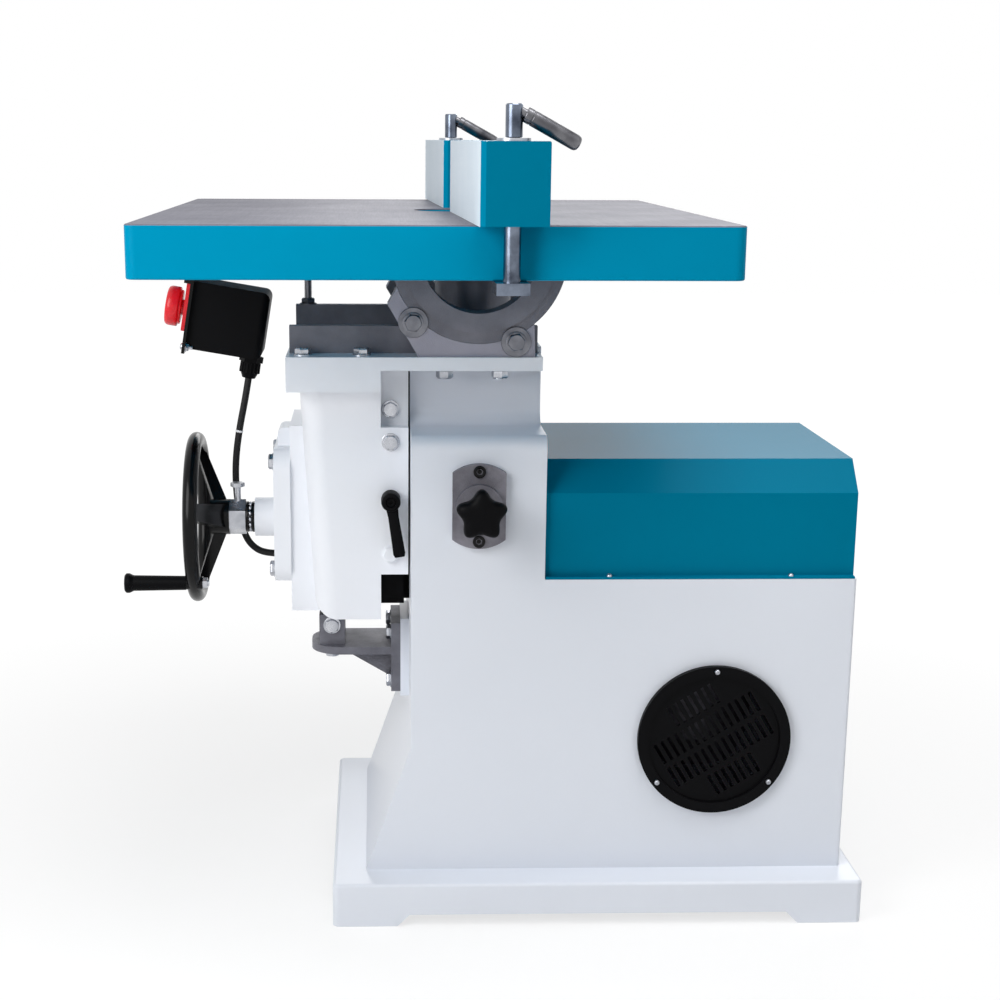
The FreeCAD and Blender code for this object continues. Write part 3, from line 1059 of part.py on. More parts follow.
pocket(table, rectangle(sketch(table, "XY_Plane", "table_height"),
                        (f"hole_left+{hole_round}", f"hole_right-{hole_round}"),
                        (f"-{hole_round}", hole_round)), "2*table_plate")
node("table_top", table, ring_holes["-"] + ring_holes["+"])


# Fence: a box beam across the table, drawn straight and then turned to its slight skew.
def fence_node(label, obj):
    obj.Label = label
    obj.Placement = FreeCAD.Placement(V(), FreeCAD.Rotation(V(0, 0, 1), num("fence_skew")))
    put(obj, "spindle_x+fence_x")
    nodes.append(obj)
    return obj


fence_foot = "table_height+fence_gap"
beam = block(("facing_thick-fence_width/2", "fence_width/2"), ("-fence_length/2", "fence_length/2"),
             (fence_foot, "fence_top"))
beam = fillet(beam, "fence_edge", lambda e: along_axis(e, "Y") and near(middle(e).z, "fence_top"))
notch = block(("-fence_width", "fence_width/2-gap_wall"), ("gap_front", "gap_rear"),
              ("table_height-notch_over", "fence_top+notch_over"))
bores = [rod("Z", ("0", y), (fence_foot, "fence_top"), "stud_radius+2*seat_gap")
         for y in ("-clamp_y", "clamp_y")]
hollows = [block(("facing_thick-fence_width/2+fence_wall", "fence_width/2-fence_wall"), span,
                 (fence_foot, "fence_top-fence_wall")) for span in (
    ("fence_web-fence_length/2", "gap_front-fence_wall"), ("gap_rear+fence_wall", "fence_length/2-fence_web"))]
fence_node("fence_beam", cut(beam, notch, *bores, *hollows))
fence_node("fence_facings", group(*[
    block(("-fence_width/2", "facing_thick-fence_width/2"), span, (fence_foot, "fence_top"))
    for span in (("-fence_length/2", "gap_front"), ("gap_rear", "fence_length/2"))]))
fence_node("clamp_washers", group(*[
    tube("Z", ("0", y), ("fence_top", "fence_top+washer_thick"), "washer_radius", "stud_tip+hole_gap")
    for y in ("-clamp_y", "clamp_y")]))


def clamp_bolt(sign):
    """A stud through the fence's overhanging end with a hook that pulls up under the table's skirt."""
    y = f"{sign}clamp_y"
    outer = f"{sign}(clamp_y+hook_width/2)"
    inner = f"{sign}(clamp_y+hook_width/2-hook_reach)"
    hook_top = "table_under-clamp_gap"
    hook = block(("-hook_width/2", "hook_width/2"), (outer, inner) if sign == "-" else (inner, outer),
                 (f"{hook_top}-hook_thick", hook_top))
    stud = rod("Z", ("0", y), (f"{hook_top}-stud_lap", "fence_top"), "stud_radius")
    tip = rod("Z", ("0", y), ("fence_top-stud_lap", "fence_top+washer_thick+stud_tip_rise"), "stud_tip")
    return fuse(hook, stud, tip)


def clamp_handle(sign):
    """A round post screwed on the stud, with a lever that slopes away over the fence's edge."""
    y = f"{sign}clamp_y"
    foot = "fence_top+washer_thick+clamp_gap"
    post = rod("Z", ("0", y), (foot, "post_top"), "post_radius")
    arms = []
    for start, reach, radius in (("0", "lever_start+lever_lap", "lever_neck"),
                                 ("lever_start", "lever_length", "lever_radius")):
        arm = doc.addObject("Part::Cylinder", "Lever")
        bind(arm, Radius=radius, Height=reach)
        arm.Placement = FreeCAD.Placement(V(), FreeCAD.Rotation(V(0, 1, 0), 90 + num("lever_slope")))
        put(arm, f"({start})*cos(lever_slope)", y, f"post_top-lever_drop-({start})*sin(lever_slope)")
        arms.append(arm)
    room_top = "fence_top+washer_thick+stud_tip_rise+stud_tip_gap"
    room = rod("Z", ("0", y), (foot, room_top), "stud_tip+2*seat_gap")
    return cut(fuse(post, *arms), room)


for name, sign in (("front", "-"), ("rear", "+")):
    fence_node(f"{name}_clamp_bolt", clamp_bolt(sign))
    fence_node(f"{name}_clamp_handle", clamp_handle(sign))

# Switch: a box on a leaning plate under the table's operator end, with a stop button on a hinged lid.
drop_x, drop_z = "sin(switch_tilt)", "cos(switch_tilt)"
rise = "((plate_under-switch_plate-switch_z)/cos(switch_tilt))"
bracket = new_body("SwitchBracket")


def on_plate(reach, thick="0"):
    """A point on the leaning plate: reach up it from the switch's corner, thick in front of its face."""
    return (f"switch_x+({reach})*{drop_x}-({thick})*{drop_z}",
            f"switch_z+({reach})*{drop_z}+({thick})*{drop_x}")


pad(bracket, outline(sketch(bracket, "XZ_Plane", "-switch_y-switch_plate_width/2"), [
    on_plate("-switch_plate_drop", "switch_plate"), on_plate("-switch_plate_drop"), on_plate(rise),
    (f"switch_x+{rise}*{drop_x}+switch_tab", "plate_under-switch_plate"),
    (f"switch_x+{rise}*{drop_x}+switch_tab", "plate_under"),
    on_plate("((plate_under-switch_z-switch_plate*sin(switch_tilt))/cos(switch_tilt))", "switch_plate")]),
    "switch_plate_width")
hinge = ("-lid_hinge_out", "0")
ear_near, ear_far = "(lid_width/2+run_gap)", "(lid_width/2+run_gap+lid_ear)"
ears = fuse(rod("Y", hinge, (f"-{ear_far}", ear_far), "lid_pin_radius"), *[
    block(("-lid_hinge_out-lid_hinge_radius", "-switch_plate/2"), ends,
          ("-lid_hinge_radius", "lid_hinge_radius"))
    for ends in ((f"-{ear_far}", f"-{ear_near}"), (ear_near, ear_far))])
ears.Placement = FreeCAD.Placement(V(), FreeCAD.Rotation(V(0, 1, 0), num("switch_tilt")))
put(ears, "switch_x", "switch_y", "switch_z")
node("switch_bracket", fuse(bracket, ears))
box = block(("0", "switch_box_depth"), ("-switch_box_width/2", "switch_box_width/2"),
            ("-switch_box_height", "0"))
box = fillet(box, "switch_round", lambda e: near(middle(e).x, "switch_box_depth"))
tilted_node("switch_box", box)
gland_top = "-switch_box_height"
tilted_node("cable_gland", fuse(
    hexagon("Z", ("gland_x", "0"), (f"{gland_top}-gland_nut", gland_top), "2*gland_radius"),
    rod("Z", ("gland_x", "0"), (f"{gland_top}-gland_length", f"{gland_top}-gland_nut+gland_lap"),
        "gland_radius-gland_step"),
    cone("Z", ("gland_x", "0"), (f"{gland_top}-gland_length-gland_taper", f"{gland_top}-gland_length"),
         "gland_radius-gland_mouth", "gland_radius-gland_collar")))
lid_face = "-switch_plate-lid_thick"
lid = block((lid_face, "-switch_plate-run_gap"), ("-lid_width/2", "lid_width/2"), ("-lid_height", "0"))
lid = fillet(lid, "lid_corner", lambda e: along_axis(e, "X"))
lid = fuse(lid, rod("Y", hinge, ("-lid_width/2", "lid_width/2"), "lid_hinge_radius"))
button_z = "-stop_button_drop"
stem_hole = rod("X", ("0", button_z), (lid_face, "-switch_plate"), "stop_stem+2*seat_gap")
pin_hole = rod("Y", hinge, ("-lid_width/2", "lid_width/2"), "lid_pin_radius+seat_gap")
tilted_node("switch_lid", cut(lid, stem_hole, pin_hole))
cap_back = f"{lid_face}-stop_button_travel"
cap_front = f"{cap_back}-stop_button_depth"
cap = fillet(rod("X", ("0", button_z), (cap_front, cap_back), "stop_button_radius"), "stop_button_round",
             lambda e: near(middle(e).x, cap_front))
stem_span = (f"{cap_back}-stop_stem_lap", f"{lid_face}+stop_stem_end")
tilted_node("stop_button", fuse(cap, rod("X", ("0", button_z), stem_span, "stop_stem")))

# Switch cable: hangs from the gland, passes behind the hand-wheel shaft and goes into the gear housing.
gland_end = "(switch_box_height+gland_length+gland_taper+2*run_gap)"
cable_x = num(f"switch_x+gland_x*{drop_z}-{gland_end}*{drop_x}")
cable_z = num(f"switch_z-gland_x*{drop_x}-{gland_end}*{drop_z}")
cable_start = V(cable_x, num("switch_y"), cable_z)
CABLE = [cable_start, cable_start - V(num("cable_lean"), 0, num("cable_straight")), V(-302, 51, 580),
         V(-308, 52, 540), V(-309, 52, 505), V(-306, 52, 470), V(-300, 51, 439), V(-290, 48, 421),
         V(-272, 43, 411), V(num("gear_housing_left"), 43, 411)]


def cable_path(points):
    """Straight runs joined by tangent arcs, each as large as its two runs allow; prints the radii."""
    edges = []
    start = points[0]
    radii = []
    for before, corner, after in zip(points, points[1:], points[2:]):
        come, go = (before - corner), (after - corner)
        turn = math.pi - come.getAngle(go)
        reach = 0.45 * min(come.Length, go.Length)
        radii.append(reach / math.tan(turn / 2))
        come, go = come.normalize(), go.normalize()
        enter, leave = corner + come * reach, corner + go * reach
        bisector = (come + go).normalize()
        middle_point = corner + bisector * (radii[-1] / math.cos(turn / 2) - radii[-1])
        edges.append(Part.LineSegment(start, enter).toShape())
        edges.append(Part.Arc(enter, middle_point, leave).toShape())
        start = leave
    edges.append(Part.LineSegment(start, points[-1]).toShape())
    print("cable bend radii", [round(r) for r in radii])
    return Part.Wire(edges)


path = cable_path(CABLE)
ring = Part.Wire(Part.makeCircle(num("cable_radius"), CABLE[0], CABLE[1] - CABLE[0]))
cable = path.makePipeShell([ring], True, False)
print("cable points", [tuple(round(c, 2) for c in p) for p in CABLE])
print("cable length", round(path.Length, 1), "volume ratio",
      round(cable.Volume / (path.Length * math.pi * num("cable_radius") ** 2), 4))
node("switch_cable", feature(cable))

# Every piece is checked before anything is written.
doc.recompute()
for obj in doc.Objects:
    if "Invalid" in obj.State or "Error" in obj.State:
        raise RuntimeError(f"{obj.Label}: {obj.State}")
os.makedirs("parts", exist_ok=True)
for obj in nodes:
    shape = obj.Shape
    if shape.isNull() or not shape.isValid():
        raise RuntimeError(f"{obj.Label}: bad shape")
for obj in nodes:
    obj.Shape.exportStep(f"parts/{obj.Label}.step")
whole = Part.makeCompound([obj.Shape for obj in nodes]).BoundBox
print(len(nodes), "pieces", whole)
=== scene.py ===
# %% [markdown]
# # A spindle moulder, dressed for its portrait
# The machine comes in as a imported frame of solids, one object for each piece, already in metres and in place.
# This lesson gives every piece its finish, adds the small hardware that solids leave plain, and sets up the studio.

# %% Load the frame
import json
import math
import bpy
import bmesh
from mathutils import Matrix, Vector


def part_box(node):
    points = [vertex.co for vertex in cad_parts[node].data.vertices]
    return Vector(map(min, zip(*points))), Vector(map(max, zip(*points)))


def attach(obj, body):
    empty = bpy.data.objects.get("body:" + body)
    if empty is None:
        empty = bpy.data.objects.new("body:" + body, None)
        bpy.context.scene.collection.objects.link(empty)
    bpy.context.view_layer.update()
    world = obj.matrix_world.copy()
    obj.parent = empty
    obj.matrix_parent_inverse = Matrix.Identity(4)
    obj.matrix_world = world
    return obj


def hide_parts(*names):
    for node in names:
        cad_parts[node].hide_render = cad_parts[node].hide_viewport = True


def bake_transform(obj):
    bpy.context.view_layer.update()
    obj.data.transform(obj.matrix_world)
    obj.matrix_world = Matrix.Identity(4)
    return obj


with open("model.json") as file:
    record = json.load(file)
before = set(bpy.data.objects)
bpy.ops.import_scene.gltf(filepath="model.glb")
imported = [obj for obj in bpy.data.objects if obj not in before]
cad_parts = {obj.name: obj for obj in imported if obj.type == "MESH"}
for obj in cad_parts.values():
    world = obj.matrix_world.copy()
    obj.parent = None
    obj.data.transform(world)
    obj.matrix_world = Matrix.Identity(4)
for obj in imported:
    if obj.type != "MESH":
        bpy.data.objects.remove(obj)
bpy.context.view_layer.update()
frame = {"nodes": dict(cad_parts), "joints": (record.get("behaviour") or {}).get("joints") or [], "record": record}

scene = bpy.context.scene
scene.view_settings.view_transform = "Standard"
nodes = frame["nodes"]
joints = {joint["name"]: joint for joint in frame["joints"]}
SPINDLE = joints["spindle_spin"]["pos_m"][0]
MM = 0.001


def at(x, y, z):
    """A point measured in millimetres from the spindle's axis, in the frame's metres."""
    return Vector((x * MM + SPINDLE, y * MM, z * MM))


# %% [markdown]
# ## Camera
# The photograph was taken from about 2.3 m, a little above the table and looking down by 14 degrees. Solving its
# perspective gives a lens of 64 mm on a 36 mm sensor, and a picture cut out below and right of the lens's axis,
# which Blender calls shift. Depth of field stays off.

# %% Camera
YAW, PITCH, ROLL = math.radians(1.80), math.radians(13.77), math.radians(-0.27)
FOCAL_SHARE = 1.781
SHIFT = (0.070, 0.075)
EYE = at(-124, -2276, 949)
ahead = Vector((math.sin(YAW) * math.cos(PITCH), math.cos(YAW) * math.cos(PITCH), -math.sin(PITCH)))
level = Vector((math.cos(YAW), -math.sin(YAW), 0))
below = ahead.cross(level)
right = level * math.cos(ROLL) + below * math.sin(ROLL)
down = below * math.cos(ROLL) - level * math.sin(ROLL)
lens = bpy.data.cameras.new("portrait_lens")
lens.sensor_width = 36
lens.lens = FOCAL_SHARE * lens.sensor_width
lens.shift_x, lens.shift_y = SHIFT
lens.clip_end = 50
camera = bpy.data.objects.new("portrait_camera", lens)
scene.collection.objects.link(camera)
turn = Matrix((right, -down, -ahead)).transposed().to_4x4()
camera.matrix_world = Matrix.Translation(EYE) @ turn
scene.camera = camera
print("camera: lens", round(lens.lens, 1), "mm at", [round(v, 3) for v in camera.location])

# %% [markdown]
# ## Switch cable
# The cable leaves the gland straight down, bows out behind the hand wheel's shaft and goes into the gear housing.
# It is a NURBS curve through the route's points. It bends between the tilting table and the knee, so a round bevel
# makes it a mesh tube.

# %% Switch cable
ROUTE = [(-289.22, 50, 644.29), (-293.22, 50, 620.29), (-302, 51, 580), (-308, 52, 540), (-309, 52, 505),
         (-306, 52, 470), (-300, 51, 439), (-290, 48, 421), (-272, 43, 411), (-252, 43, 411)]
CABLE_RADIUS = 4.5 * MM
line = bpy.data.curves.new("switch_cable_line", "CURVE")
line.dimensions = "3D"
spline = line.splines.new("NURBS")
spline.points.add(len(ROUTE) - 1)
for point, spot in zip(spline.points, ROUTE):
    point.co = (*at(*spot), 1)
spline.order_u = 3
spline.use_endpoint_u = True
line.resolution_u = 12


def as_mesh(thing):
    """The evaluated shape of an object as a plain mesh."""
    bpy.context.view_layer.update()
    return bpy.data.meshes.new_from_object(thing.evaluated_get(bpy.context.evaluated_depsgraph_get()))


guide = bpy.data.objects.new("cable_guide", line)
scene.collection.objects.link(guide)
path_points = [Vector(v.co) for v in as_mesh(guide).vertices]
line.bevel_depth = CABLE_RADIUS
line.bevel_resolution = 6
line.use_fill_caps = True
cable_mesh = as_mesh(guide)
bpy.data.objects.remove(guide)
cable = bpy.data.objects.new("switch_cable_tube", cable_mesh)
scene.collection.objects.link(cable)
for face in cable_mesh.polygons:
    face.use_smooth = True
CABLE_TOP, CABLE_HELD = at(-289, 50, 645), at(-309, 52, 510)
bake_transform(cable)
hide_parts("switch_cable")
length = sum((b - a).length for a, b in zip(path_points, path_points[1:]))
print("cable:", round(length * 1000), "mm long")

# %% [markdown]
# ## Studio floor
# A pale floor takes the machine's shadow close by and fades to plain white further off. Camera, mirror and glass rays
# see floor and world as white; only soft light meets their dimmer strength. One helper adds a node to any tree, from
# its type, its settings, and its sockets as numbers or links.

# %% Studio floor


def add_node(tree, kind, settings=None, sockets=None):
    """The outputs of a new node; each socket is given as a number or as another node's output."""
    made = tree.nodes.new(kind)
    for key, setting in (settings or {}).items():
        setattr(made, key, setting)
    for key, given in (sockets or {}).items():
        if isinstance(given, bpy.types.NodeSocket):
            tree.links.new(given, made.inputs[key])
        else:
            made.inputs[key].default_value = given
    return made.outputs


def seen_as_white(tree):
    """One where a ray comes from the camera, a mirror or glass, and zero elsewhere."""
    rays = add_node(tree, "ShaderNodeLightPath")
    found = rays["Is Camera Ray"]
    for kind in ("Is Glossy Ray", "Is Transmission Ray"):
        found = add_node(tree, "ShaderNodeMath", {"operation": "MAXIMUM"}, {0: found, 1: rays[kind]})[0]
    return found


FLOOR_REACH, FLOOR_LEVEL = 9, -0.6 * MM
PAPER_WHITE, PAPER_GLOW = (0.93, 0.93, 0.93, 1), 1.04
FADE_START, FADE_END, GLOW_NEARBY = 0.45, 1.7, 0.66
corners = [(x * FLOOR_REACH, y * FLOOR_REACH, FLOOR_LEVEL) for x, y in ((-1, -1), (1, -1), (1, 1), (-1, 1))]
floor_mesh = bpy.data.meshes.new("floor")
floor_mesh.from_pydata(corners, [], [(0, 1, 2, 3)])
floor = bpy.data.objects.new("floor", floor_mesh)
scene.collection.objects.link(floor)
paper = bpy.data.materials.new("studio_paper")
paper.use_nodes = True
sheet = paper.node_tree
sheet.nodes.clear()
spot = add_node(sheet, "ShaderNodeTexCoord")["Object"]
away = add_node(sheet, "ShaderNodeVectorMath", {"operation": "LENGTH"}, {0: spot})["Value"]
fade = add_node(sheet, "ShaderNodeMapRange", {}, {
    "Value": away, "From Min": FADE_START, "From Max": FADE_END, "To Min": GLOW_NEARBY, "To Max": 1.0})["Result"]
share = add_node(sheet, "ShaderNodeMath", {"operation": "MULTIPLY"}, {0: seen_as_white(sheet), 1: fade})[0]
matte = add_node(sheet, "ShaderNodeBsdfDiffuse", {}, {"Color": PAPER_WHITE})[0]
glow = add_node(sheet, "ShaderNodeEmission", {}, {"Strength": PAPER_GLOW})[0]
blend = add_node(sheet, "ShaderNodeMixShader", {}, {"Fac": share, 1: matte, 2: glow})[0]
add_node(sheet, "ShaderNodeOutputMaterial", {}, {"Surface": blend})
floor_mesh.materials.append(paper)
print("floor:", 2 * FLOOR_REACH, "m wide")

# %% [markdown]
# ## World and lamps
# The lamps are large and soft: a key close by on the left, a faint fill from the right, an overhead panel a little in
# front, which lights the top of the plinth, and one behind.

# %% World and lamps
SOFT_LIGHT = 0.22
world = bpy.data.worlds.new("studio")
scene.world = world
world.use_nodes = True
sky = world.node_tree
bright = add_node(sky, "ShaderNodeMapRange", {}, {"Value": seen_as_white(sky), "To Min": SOFT_LIGHT, "To Max": 1.0})
backdrop = sky.nodes["Background"]
backdrop.inputs["Color"].default_value = (1, 1, 1, 1)
sky.links.new(bright["Result"], backdrop.inputs["Strength"])


def lamp(name, place, aim, size, power):
    """A rectangular lamp that faces a point; lengths in metres, power in watts."""
    light = bpy.data.lights.new(name, "AREA")
    light.shape = "RECTANGLE"
    light.size, light.size_y = size
    light.energy = power
    holder = bpy.data.objects.new(name, light)
    towards = (Vector(aim) - Vector(place)).to_track_quat("-Z", "Y")
    holder.matrix_world = Matrix.Translation(place) @ towards.to_matrix().to_4x4()
    scene.collection.objects.link(holder)
    return light


lamps = [lamp("key", (-1.2, -1.2, 1.3), (-0.1, 0, 0.55), (1.0, 1.2), 20),
         lamp("fill", (1.6, -1.6, 2.3), (0.3, 0, 0.5), (1.4, 1.4), 2),
         lamp("top", (0.45, -0.75, 2.9), (0.15, -0.1, 0.5), (1.6, 1.2), 42),
         lamp("back", (0.6, 3.0, 2.0), (0, 0, 0.7), (2.0, 1.6), 26)]
print("lamps:", [light.name for light in lamps])

# %% [markdown]
# ## Writing shaders as sums
# A finish is a Principled shader whose colour, roughness and bump vary a little over the surface. To keep the node
# work readable, one class wraps a socket so that ordinary arithmetic adds Math nodes, and another holds the material.

# %% Shader helpers


class Value:
    """A number or colour that varies over a surface; arithmetic on it adds Math nodes."""

    def __init__(self, finish, socket):
        self.finish = finish
        self.socket = socket

    def sum(self, operation, first, second):
        return self.finish.node("ShaderNodeMath", {"operation": operation}, {0: first, 1: second})

    def __add__(self, other):
        return self.sum("ADD", self, other)

    def __mul__(self, other):
        return self.sum("MULTIPLY", self, other)

    def __radd__(self, other):
        return self.sum("ADD", other, self)

    def __rsub__(self, other):
        return self.sum("SUBTRACT", other, self)

    def __gt__(self, other):
        return self.sum("GREATER_THAN", self, other)

    def __lt__(self, other):
        return self.sum("LESS_THAN", self, other)


class Finish:
    """A material with a Principled shader, its constants set on their own sockets."""

    def __init__(self, name, **constants):
        self.material = bpy.data.materials.new(name)
        self.material.use_nodes = True
        self.tree = self.material.node_tree
        self.shader = self.tree.nodes["Principled BSDF"]
        for socket, number in constants.items():
            label = socket.replace("_", " ").title().replace("Ior", "IOR")
            self.shader.inputs[label].default_value = number

    def node(self, kind, settings=None, sockets=None, out=0):
        given = {key: item.socket if isinstance(item, Value) else item for key, item in (sockets or {}).items()}
        return Value(self, add_node(self.tree, kind, settings, given)[out])

    def place(self, scale=(1, 1, 1)):
        """Where a point is on the piece, with each axis scaled."""
        spot = self.node("ShaderNodeTexCoord", out="Object")
        return self.node("ShaderNodeMapping", {}, {"Vector": spot, "Scale": scale})

    def along(self, axis):
        """How far along one axis a point is."""
        spot = self.node("ShaderNodeTexCoord", out="Object")
        return self.node("ShaderNodeSeparateXYZ", {}, {0: spot}, out=axis)

    def noise(self, scale, detail=2.0, stretch=(1, 1, 1), rough=0.5):
        """Noise with so many spots a metre; an axis with a small stretch gets long streaks."""
        return self.node("ShaderNodeTexNoise", {}, {
            "Vector": self.place(stretch), "Scale": scale, "Detail": detail, "Roughness": rough})

    def steps(self, value, low, high):
        """Zero below one level, one above another, and a straight rise between them."""
        risen = self.node("ShaderNodeValToRGB", {}, {0: value})
        first, last = risen.socket.node.color_ramp.elements
        first.position, last.position = low, high
        return risen

    def mix(self, first, second, share):
        """A blend of two colours; sockets 6 and 7 and output 2 are the ones for colours."""
        return self.node("ShaderNodeMix", {"data_type": "RGBA"}, {0: share, 6: first, 7: second}, out=2)

    def bump(self, relief, depth):
        """Normals for a relief whose unit is so many metres deep."""
        return self.node("ShaderNodeBump", {}, {"Height": relief, "Distance": depth, "Strength": 1.0})

    def set(self, **links):
        """Links what varies to the shader, and gives the finished material."""
        for socket, value in links.items():
            self.tree.links.new(value.socket, self.shader.inputs[socket.replace("_", " ").title()])
        return self.material


def rgb(red, green, blue):
    """A colour given as it looks on a screen, 0 to 255, as the linear numbers that a shader wants."""
    def linear(shade):
        shade = shade / 255
        return shade / 12.92 if shade <= 0.04045 else ((shade + 0.055) / 1.055) ** 2.4
    return (linear(red), linear(green), linear(blue), 1)


print("shader helpers ready")

# %% [markdown]
# ## Enamel
# The white and teal coats are sprayed enamel: nearly even in colour, glossy, with a faint ripple called orange peel.
# A broad noise shifts the colour and the gloss by a few percent, as a real coat does where it ran thicker, and a fine
# one feeds a bump a few hundredths of a millimetre deep. The knee and its gear housing are painted castings, so their
# coat also shows the slow waves of the iron below.

# %% Enamel


def enamel(name, body, shade, gloss, ior=1.4, coat=0.12, waves=0.0):
    """Sprayed paint from two near shades; a higher gloss number is duller."""
    finish = Finish(name, coat_roughness=0.06, coat_weight=coat, ior=ior)
    cloud = finish.noise(3.5, 4)
    peel = finish.noise(420, 1)
    wave = finish.noise(26, 3) * waves
    return finish.set(base_color=finish.mix(body, shade, cloud * 0.5), roughness=cloud * 0.1 + (gloss - 0.05),
                      normal=finish.bump(peel * 0.25 + wave, 0.03 * MM))


white = enamel("white_enamel", rgb(232, 236, 244), rgb(222, 227, 236), 0.33)
white_cast = enamel("white_cast_enamel", rgb(243, 245, 250), rgb(233, 236, 242), 0.32, waves=9)
teal = enamel("teal_enamel", rgb(0, 122, 154), rgb(0, 110, 142), 0.22, ior=1.06, coat=0.0)
black_gloss = enamel("black_enamel", rgb(7, 7, 8), rgb(11, 11, 13), 0.22, ior=1.24, coat=0.05)
print("enamels:", [paint.name for paint in (white, white_cast, teal, black_gloss)])

# %% [markdown]
# ## Iron and steel
# The saddles and rings are bare or thinly painted castings: mottled grey with a sandy skin. The outer cheeks of the
# saddles are lighter than their webs, which is painted light. The bolts are zinc plated, bright with cloudy patches.
# The drawn chrome is dark with darker patches, a painted reflection of a darker room. Turned and ground pieces show
# fine lines along the way they were cut, made here by a noise that is stretched along one axis.

# %% Iron and steel
CHEEK_START = 105.5 * MM
UPRIGHT_STREAKS, LEVEL_RINGS = (1, 1, 0.06), (1, 1, 14)


def casting(name, body, shade, grain=0.2 * MM, metal=0.35, rough=0.3, painted_light_cheek=None, shine=0.3):
    """Sandy iron; given a colour for the cheeks, what lies further out than the webs of the saddles takes it: painted
    light, for the light that falls on the outer cheeks while the webs lie in shade.
    """
    finish = Finish(name, metallic=metal, specular_ior_level=shine)
    patch = finish.noise(22, 5, rough=0.6)
    sand = finish.noise(900, 2)
    colour = finish.mix(body, shade, finish.steps(patch, 0.3, 0.75))
    # painted light: further out than the webs, the saddles' cheeks take a lighter colour for the light that falls on
    # them
    if painted_light_cheek:
        side = finish.along("Y")
        outer = side * side > CHEEK_START * CHEEK_START
        colour = finish.mix(colour, finish.mix(painted_light_cheek, colour, patch * 0.4), outer)
    return finish.set(base_color=colour, roughness=patch * 0.2 + sand * 0.12 + rough,
                      normal=finish.bump(sand + patch * 1.5, grain))


def plated(name, body, shade, gloss=0.26, stretch=(1, 1, 1), patches=70):
    """Bright metal with cloudy patches and with fine lines, whose way follows from the stretch. On the drawn chrome
    the dark colour and its dark patches are a painted reflection of a darker room, and so are the burnished steel's
    dark patches.
    """
    finish = Finish(name, metallic=1.0)
    cloud = finish.noise(patches, 4)
    lines = finish.noise(900, 2, stretch)
    colour = finish.mix(body, shade, finish.steps(cloud, 0.35, 0.7))
    return finish.set(base_color=colour, roughness=cloud * 0.14 + lines * 0.12 + (gloss - 0.1),
                      normal=finish.bump(lines, 0.02 * MM))


grey_iron = casting("grey_iron", rgb(122, 122, 130), rgb(100, 100, 108))
# painted light: the third colour stands for the light on the saddles' outer cheeks
saddle_iron = casting("saddle_iron", rgb(120, 121, 129), rgb(98, 99, 107), painted_light_cheek=rgb(164, 162, 174))
shelf_iron = casting("shelf_iron", rgb(122, 122, 130), rgb(92, 92, 100), grain=0.5 * MM)
dark_iron = casting("dark_iron", rgb(136, 134, 142), rgb(84, 83, 90), grain=0.5 * MM, metal=0.4)
rail_black = casting("rail_black", rgb(12, 12, 13), rgb(7, 7, 8), grain=0.1 * MM, metal=0.0, rough=0.45, shine=0.06)
zinc = plated("zinc_plate", rgb(196, 198, 204), rgb(160, 163, 170))
dull_zinc = plated("dull_zinc", rgb(128, 129, 135), rgb(104, 105, 112), 0.4)
# painted reflection: the dark colours and dark patches below stand for a darker room seen in the metal
chrome = plated("drawn_chrome", rgb(122, 131, 146), rgb(58, 64, 76), 0.2, UPRIGHT_STREAKS, patches=40)
burnished = plated("burnished_steel", rgb(128, 128, 132), rgb(70, 70, 75), 0.26, UPRIGHT_STREAKS, patches=40)
steel = plated("ground_steel", rgb(180, 182, 188), rgb(150, 152, 158), 0.24, LEVEL_RINGS)
bronze = plated("bronze", rgb(190, 150, 86), rgb(160, 120, 62), 0.3)
irons = (grey_iron, saddle_iron, shelf_iron, dark_iron, rail_black)
bright_metals = (zinc, dull_zinc, chrome, burnished, steel, bronze)
print("metals:", [metal.name for metal in irons + bright_metals])

# %% [markdown]
# ## Plastic and rubber
# Moulded handles have a fine spark-eroded grain that breaks up the highlight. The stop button is smoother. The
# cable and the belt are rubber with almost no shine.

# %% Plastic and rubber


def moulded(name, body, shade, gloss, grain, depth, shine=0.4):
    """Plastic or rubber whose grain has a fineness and a depth."""
    finish = Finish(name, specular_ior_level=shine)
    speck = finish.noise(grain, 2)
    cloud = finish.noise(18, 3)
    colour = finish.mix(body, shade, cloud)
    return finish.set(base_color=colour, roughness=speck * 0.15 + cloud * 0.08 + (gloss - 0.1),
                      normal=finish.bump(speck, depth))


black_plastic = moulded("black_plastic", rgb(11, 11, 13), rgb(7, 7, 9), 0.42, 1400, 0.06 * MM, shine=0.06)
red_plastic = moulded("red_plastic", rgb(236, 36, 48), rgb(220, 26, 38), 0.24, 700, 0.02 * MM)
rubber = moulded("rubber", rgb(22, 22, 24), rgb(14, 14, 16), 0.55, 1100, 0.08 * MM, shine=0.3)
white_plastic = moulded("white_plastic", rgb(234, 235, 238), rgb(222, 224, 228), 0.35, 700, 0.02 * MM)
cable_mesh.materials.append(rubber)
print("plastics:", [plastic.name for plastic in (black_plastic, red_plastic, rubber, white_plastic)])

# %% [markdown]
# ## Table and fence
# The table is one casting: its top is ground bare and its skirt is painted. Both finishes live in one material, and
# the height over the floor decides which shows; the cut lies a hair below the top, so that its edge shows as a bright
# line, which is the ground edge and also a painted highlight. The painted teal is lighter than the teal enamel, as
# painted light on the lit edge of the table. The fence's two working faces are ground too, and there the distance
# across the skewed fence decides; their near-white, slightly blue colour is a painted reflection of bright
# surroundings. Grinding leaves long fine lines from front to back.

# %% Table and fence
GRINDING = (1, 0.03, 1)
# the bare band under the top is the ground edge and also a painted highlight along it
GROUND_EDGE_AND_HIGHLIGHT = 1.4 * MM
SKEW = math.radians(2)
FENCE_MIDDLE, FACING_DEPTH = 3, 35.6 * MM
table_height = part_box("table_top")[1][2]
facing_plane = at(FENCE_MIDDLE, 0, 0).x * math.cos(SKEW) - FACING_DEPTH


